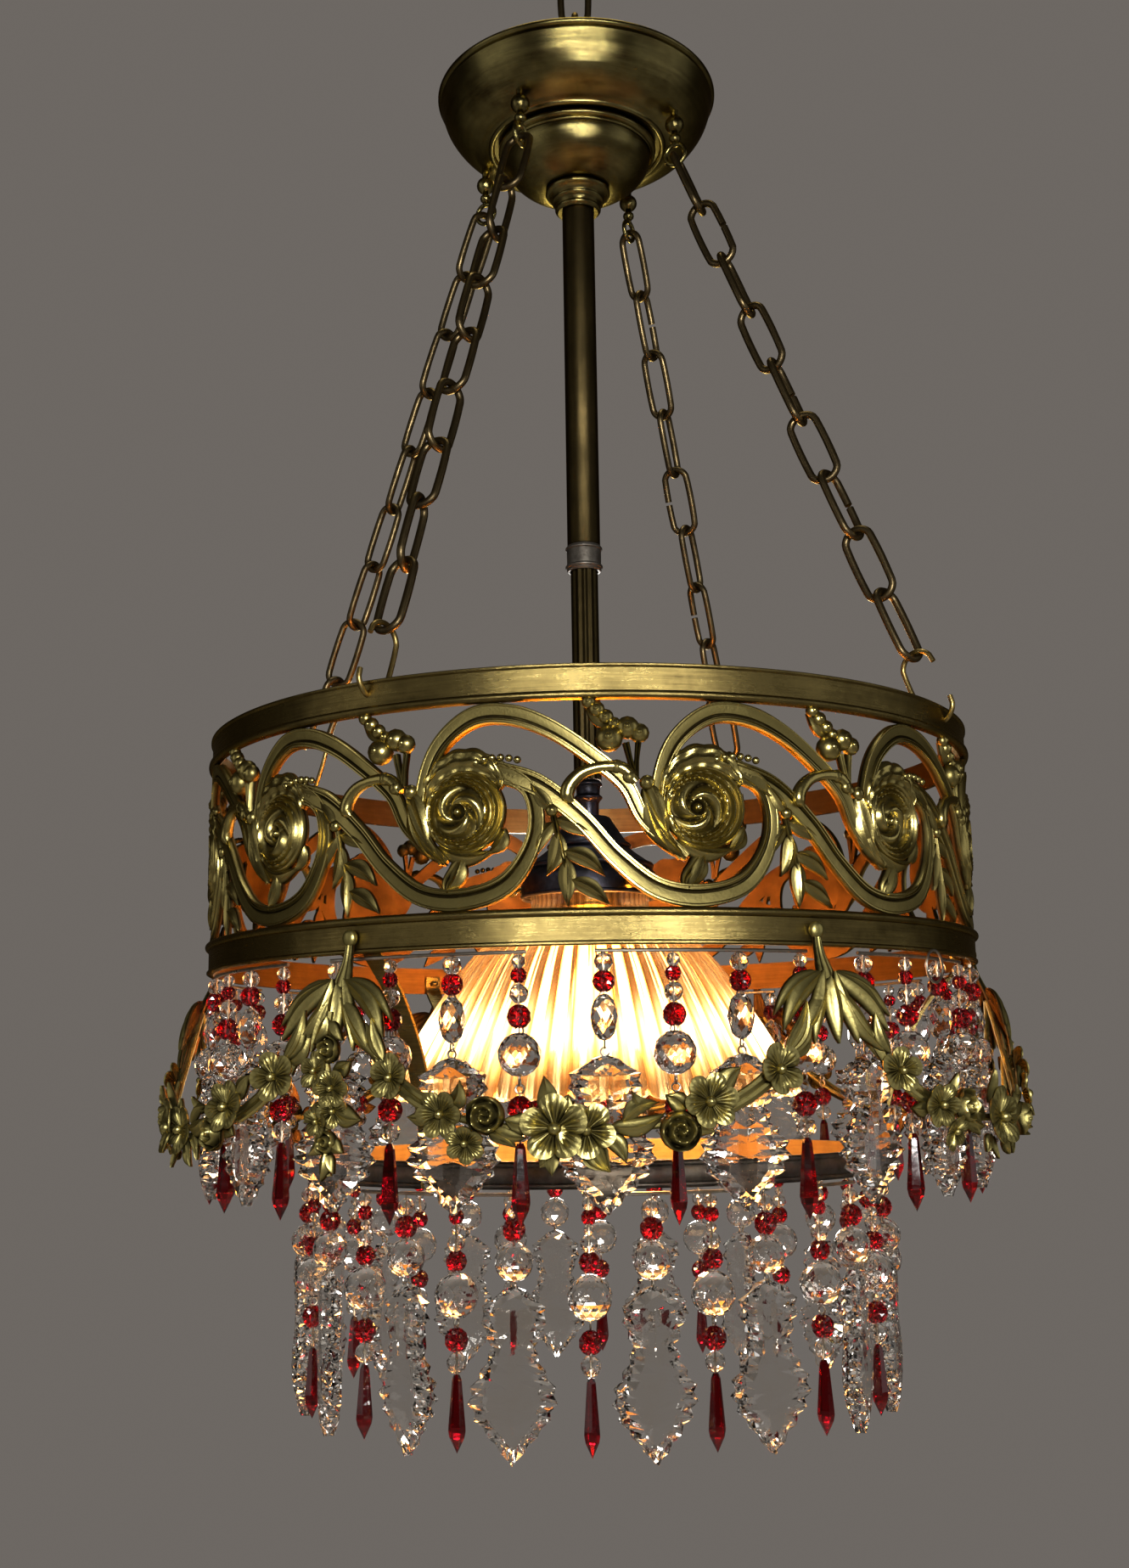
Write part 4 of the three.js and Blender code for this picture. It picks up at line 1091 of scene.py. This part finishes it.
def petalled(radius, petals):
    """An open flower: lobed petals, each with fine veins, cupped round a hollow for the bead."""
    rings, sectors, veins = 11, 90, 5
    share = np.linspace(0.04, 1, rings)[:, None]
    a = circle(sectors)[None]
    lobe = np.abs(np.cos(petals / 2 * a))
    r = share * radius * (0.7 + 0.3 * lobe**0.55)
    crease = 0.16 * radius * (lobe**0.6 - 0.75) * share
    vein = np.cos(petals * veins * a) * np.exp(-((share - 0.52) / 0.3) ** 2)
    cup = 0.34 * radius * (0.25 + 0.768 * share**1.3 - 0.9 * np.clip(share - 0.78, 0, 1))
    level = cup + crease + 0.05 * radius * vein
    top = np.stack([r * np.cos(a), r * np.sin(a), level], -1).reshape(-1, 3)
    n = rings * sectors
    skin = grid_faces(rings, sectors, False, True)
    faces = skin + [tuple(n + i for i in face)[::-1] for face in skin]
    faces += [tuple(range(sectors))[::-1], tuple(range(n, n + sectors))]
    rim = list(range(n - sectors, n))
    for j, k in zip(rim, rim[1:] + rim[:1]):
        faces.append((j, k, n + k, n + j))
    relief = np.clip(0.14 + 0.4 * vein + 0.5 * share + 0.4 * (lobe - 0.6), 0, 1).reshape(-1)
    return np.vstack([top, top - (0, 0, 0.9)]), faces, np.concatenate([relief, np.zeros(n)])


def blossom(shape, place, radius, petals, lean, spin):
    along, across = (math.radians(angle) for angle in lean)
    tilt = Matrix.Rotation(along, 4, "Y") @ Matrix.Rotation(across, 4, "X") @ turn(spin)
    shape.add(petalled(radius, petals), matrix=shift(*place) @ tilt)
    arc = np.linspace(0, math.pi, 9)
    heart = lathe([(radius * 0.2 * math.sin(a), radius * 0.24 * math.cos(a)) for a in arc], 14)
    shape.add(heart, matrix=shift(*place) @ shift(0, 0, radius * 0.22), relief=0.85)


def rose(shape, place, radius, spin):
    """A tight rose: petals wound in a spiral round a small heart, flatter at the rim."""
    def height(r, a):
        share = r / radius
        wound = np.cos(FULL_TURN * share * 2.2 - a + math.radians(spin))
        lobes = 0.12 * np.cos(5 * a) * share
        return radius * (0.36 * np.sqrt(np.clip(1.04 - share**2, 0, 1)) + 0.25 * wound + lobes)
    disc(shape, place[:2], radius, height, 20, 60, radius * 0.7, place[2], place[2] - 1.2)


def stalks(shape, start, end):
    """Two reeds side by side, which follow the drape between two flowers."""
    line = np.array([drape(degrees) for degrees in np.linspace(start, end, 14)])
    left = np.pad(left_of(line[:, :2]), ((0, 0), (0, 1)))
    for aside in (-1.6, 1.6):
        verts, faces = tube(line + left * aside, 1.75 * np.linspace(0.9, 1.1, 14), 8)
        out = verts[:, 2] - np.repeat(line[:, 2], 8)
        shape.add((verts, faces, np.clip(0.45 + out / 3, 0, 1)))


def festoon():
    """One swag between two mounts: flowers, roses and leaves strung along reeds and a wire."""
    swag = Shape()
    for base, tip, width, rise, sway, ribs, *curl in SWAG_LEAVES:
        leaf(swag, drape(*base), drape(*tip), width, rise, sway, 0.6, ribs, *curl, back=None)
    for place, *shaping in SWAG_FLOWERS:
        blossom(swag, drape(*place), *shaping)
    for place, *shaping in SWAG_ROSES:
        rose(swag, drape(*place), *shaping)
    for start, end in SWAG_STALKS:
        stalks(swag, start, end)
    wire = [drape(degrees, 0, -0.6) for degrees in np.linspace(-29.6, 29.6, 60)]
    swag.add(tube(wire, 1.6, 8), relief=0.3)
    return swag


def plume():
    """A fluted trumpet that hangs from a rivet on the band and opens into leaves over the swags."""
    shape = Shape()
    rivet = lathe([(0, 1.6), (1.6, 1.5), (3.0, 0.9), (3.6, 0), (3.5, -1.4), (0, -1.4)], 28)
    shape.add(rivet, matrix=shift(0, -559.6, -11.6), relief=0.7)
    strap(shape, [(0, -560, -12.4), (0, -568, -11), (0.2, -577, -8), (0, -588, -4.5)], (3.4, 5.2, 9.5, 14.5),
          24, FLUTES, swell=1.25, back=None)
    for side in (-1, 1):
        for (u, v, w), (u1, v1, w1), width, rise, sway in PLUME_LEAVES:
            leaf(shape, (side * u, v, w), (side * u1, v1, w1), width, rise, side * sway, 0.8, 3, back=None,
                 blunt=0.75)
    leaf(shape, (0, -579, -5.5), (0.5, -606, -1.6), 9, 3.0, ribs=3, back=None, blunt=0.75)
    return shape


def bunch():
    """Flowers and leaves that hang below every second mount, down to a pointed bud."""
    shape = Shape()
    for base, tip, width, sway in BUNCH_LEAVES:
        leaf(shape, (*base, 0.5), (*tip, 1), width, 2.2, sway, ribs=3, back=None)
    line = curve_points([(0, -590, 0), (-2, -606, 0.6), (1, -622, 0.6), (-0.6, -640, 0.6), (0, -655, 0)], 30)
    shape.add(tube(line, 1.7, 8), relief=0.3)
    rose(shape, (1, -605.3, 2.4), 5.6, 10)
    for flower in BUNCH_FLOWERS:
        blossom(shape, *flower)
    rose(shape, (0.6, -642, 2.4), 5.0, 120)
    return shape


def garland():
    wrap = unroll(GARLAND_RADIUS, 0)
    shapes = (festoon(), plume(), bunch())
    swag, spray, cluster = [shape.mesh("garland", [LEAF], bend=wrap) for shape in shapes]
    for i in range(6):
        place, mount = turn(60 * i + GARLAND_TURN), turn(60 * i + GARLAND_TURN - 30)
        piece(f"garland_festoon_{i + 1}", swag, "lamp", [f"garland_swag_{i + 1}"], place)
        piece(f"garland_plume_{i + 1}", spray, "lamp", (), mount)
        if i % 2 == 0:
            number = i // 2 + 1
            piece(f"garland_bunch_{number}", cluster, "lamp", [f"garland_drop_{number}"], mount)


# ---- Crystal strands -----------------------------------------------------------------------------
PLATE_OUTLINE = [(0, 0.09), (0.05, 0.42), (0.13, 0.73), (0.23, 0.69), (0.34, 0.52), (0.45, 0.66), (0.55, 0.9),
                 (0.63, 1.0), (0.75, 0.83), (0.87, 0.45), (1, 0.02)]  # share of the height, of half the width
SPEAR_OUTLINE = [(0, 0), (0.34, -0.01), (0.56, -0.07), (0.98, -0.66), (1.0, -0.72), (0.86, -0.8), (0, -1)]
GATHERED = 0.95  # the four strands of a group hang this much closer, so that swinging groups pass clear
LOOSE_RING = 49.5  # degrees round the drum: a bare wire ring hangs among the strands there

# What each strand carries, from its arc down, as a method of Strand and its measures.
UPPER_PLATE = (("wire", 1, -16), ("ball", -3.6, 3.9), ("red_ball", -11.2, 4.3),
               ("ball", -25.4, 5.6, 8, 8, 1.68), ("loops", -17, -36, -39), ("pendalogue", -40.4, 61, 39.5))
UPPER_SPEAR = (("wire", 1, -32), ("ball", -2.9, 2.9), ("red_ball", -8.3, 3.1), ("ball", -15.6, 4.0),
               ("red_ball", -24.6, 4.6), ("ball", -39.5, 8.8, 9, 12), ("loops", -30.2, -50, -53),
               ("wire", -54.5, -74), ("red_ball", -60.6, 4.8), ("ball", -69.4, 4.2),
               ("spear", -73.6, 32.4, 7.4))
LOWER_PLATE = (("wire", 1, -22), ("ball", -4.8, 3.7), ("red_ball", -13.2, 4.6), ("ball", -26.2, 8.2, 9, 12),
               ("loops", -17.6, -35.4), ("pendalogue", -36.2, 70, 36))
LOWER_SPEAR = (("wire", 1, -30), ("ball", -2.8, 2.8), ("red_ball", -8.2, 3.1), ("ball", -13.4, 2.2),
               ("ball", -19, 3.8), ("red_ball", -26.4, 4.2), ("ball", -40.4, 9.4, 9, 12),
               ("loops", -30.6, -51.4), ("wire", -52.5, -73), ("red_ball", -58.2, 4.7), ("ball", -67.4, 4.3),
               ("spear", -71.8, 31.5, 7.4))
TIERS = (  # name, groups, radius, azimuth of the first strand, degrees between strands, the two kinds
    ("upper", 10, 187.4, 0.0, 9.0, (UPPER_PLATE, UPPER_SPEAR)),
    ("lower", 8, 140.2, -2.8, 11.25, (LOWER_SPEAR, LOWER_PLATE)),
)


def cut_plate(height, width):
    """A flat pendalogue hung at its top: a small lobe over a large pointed one, bevelled all round."""
    notches, thickness = 22, 4.4
    line = curve_points(PLATE_OUTLINE, 200)
    t = (np.arange(notches) + 0.5) / notches
    half = np.interp(t, line[:, 0], line[:, 1]) * width / 2
    half = half * np.where(np.arange(notches) % 2, 0.93, 1.04)
    side = np.stack([half, -t * height], 1)
    outline = np.vstack([[(0, 0.4)], side, [(0, -height)], side[::-1] * (-1, 1)])
    middle = np.clip(outline[:, 1], -0.78 * height, -0.14 * height)
    spine = np.stack([np.zeros(len(outline)), middle], 1)
    notch = np.where(np.arange(len(outline)) % 2, 1.0, -1.0)
    rings = []
    for share, level, cut in ((0.12, 1.14, 0), (0.6, 1.0, 0), (1.0, 0.32, 0.2)):
        flat = spine + (outline - spine) * share
        rings.append(np.stack([flat[:, 0], -(level + cut * notch) * thickness, flat[:, 1]], 1))
    rings += [ring * (1, -1, 1) for ring in rings[::-1]]
    *quads, front, back = capped_faces(len(rings), len(outline))
    facets = [facet for a, b, c, d in quads for facet in ((a, b, c), (a, c, d))]
    return np.vstack(rings), [*facets, front, back]


def berry(radius):
    """A bead moulded like a berry, its whole surface a pattern of small points."""
    verts, faces = ball(radius, 10, 14)
    point = np.arange(len(verts)) % 2 == 0
    return verts * np.where(point, 1.08, 0.86)[:, None], faces


class Strand:
    """Shapes for one group of strands: its clear glass, its red glass and its metal."""

    def __init__(self):
        self.clear, self.red, self.metal = Shape(), Shape(), Shape()

    def ball(self, place, z, radius, rings=7, segments=10, stretch=1.0):
        spin = turn(rng.uniform(0, 360))
        solid = ball(radius, rings, segments, stretch)
        self.clear.add(solid, smooth=False, matrix=place @ shift(0, 0, z) @ spin)

    def red_ball(self, place, z, radius):
        spin = turn(rng.uniform(0, 360))
        self.red.add(berry(radius), smooth=False, matrix=place @ shift(0, 0, z) @ spin)

    def wire(self, place, z0, z1):
        self.metal.add(tube([(0, 0, z0), (0, 0, (z0 + z1) / 2), (0, 0, z1)], 0.4, 6), matrix=place)

    def loops(self, place, *heights):
        for k, z in enumerate(heights):
            self.metal.add(wire_ring(1.7, z, 0.42, 14, 6), matrix=place @ turn(90 * (k % 2)))

    def pendalogue(self, place, z, height, width):
        lean = Matrix.Rotation(math.radians(rng.normal(0, 1.0)), 4, "Y")
        spin = turn(float(np.clip(rng.normal(0, 12), -17, 17)))
        self.clear.add(cut_plate(height, width), smooth=False, matrix=place @ shift(0, 0, z) @ spin @ lean)

    def spear(self, place, z, height, width):
        """A long six-sided drop, widest low down, with a sharp point."""
        solid = lathe([(r * width / 2, share * height) for r, share in SPEAR_OUTLINE], 6)
        self.red.add(solid, smooth=False, matrix=place @ shift(0, 0, z) @ turn(rng.uniform(0, 60)))


def strands():
    for tier, groups, radius, first, step, kinds in TIERS:
        for i in range(groups):
            node = f"{tier}_strands_{i + 1}"
            body = f"{tier}_group_{i + 1}"
            top = high(node)[2]
            group = Strand()
            middle = first + step * (4 * i + 1.5)
            azimuths = [middle + GATHERED * step * (k - 1.5) for k in range(4)]
            for azimuth, kind in zip(azimuths, kinds * 2):
                place = turn(azimuth) @ shift(0, -radius, top - 1.8)
                for method, *measures in kind:
                    getattr(group, method)(place, *measures)
            arc = [polar(radius, a, top - 0.9) for a in np.linspace(azimuths[0] - 1, azimuths[-1] + 1, 26)]
            group.metal.add(tube(arc, 0.8, 8))
            if body == "upper_group_2":
                group.metal.add(wire_ring(7, 0, 0.6, 32, 8),
                                matrix=turn(LOOSE_RING) @ shift(0, -193.4, DRUM_BOTTOM - 6.4))
            piece(f"{tier}_crystals_{i + 1}", group.clear.mesh(node, [CRYSTAL]), body, [node])
            piece(f"{tier}_garnets_{i + 1}", group.red.mesh(node + "_red", [RED]), body)
            piece(f"{tier}_wires_{i + 1}", group.metal.mesh(node + "_wire", [WIRE]), body)


# ---- Stage ---------------------------------------------------------------------------------------
FLOOR_CORNERS = [(-14, -14, 0), (14, -14, 0), (14, 3, 0), (-14, 3, 0)]
FLOOR_HEIGHT = -1.9


def stage():
    """A pale floor well below the lamp."""
    mesh = bpy.data.meshes.new("floor")
    mesh.from_pydata(FLOOR_CORNERS, [], [(0, 1, 2, 3)])
    mesh.materials.append(FLOOR)
    plane = bpy.data.objects.new("floor", mesh)
    bpy.context.scene.collection.objects.link(plane)
    plane.location = (0, 0, FLOOR_HEIGHT)


def look():
    scene = bpy.context.scene
    scene.cycles.use_denoising = True
    scene.cycles.max_bounces = 14
    scene.cycles.transmission_bounces = 12
    scene.cycles.transparent_max_bounces = 16
    scene.view_settings.view_transform = "Standard"
    scene.view_settings.look = "None"


for make in (add_camera, suspension, canopy, hooks, stem, chains, bands, brackets, gallery, bulb, shade,
             frieze, garland, strands, add_studio, stage, look):
    make()
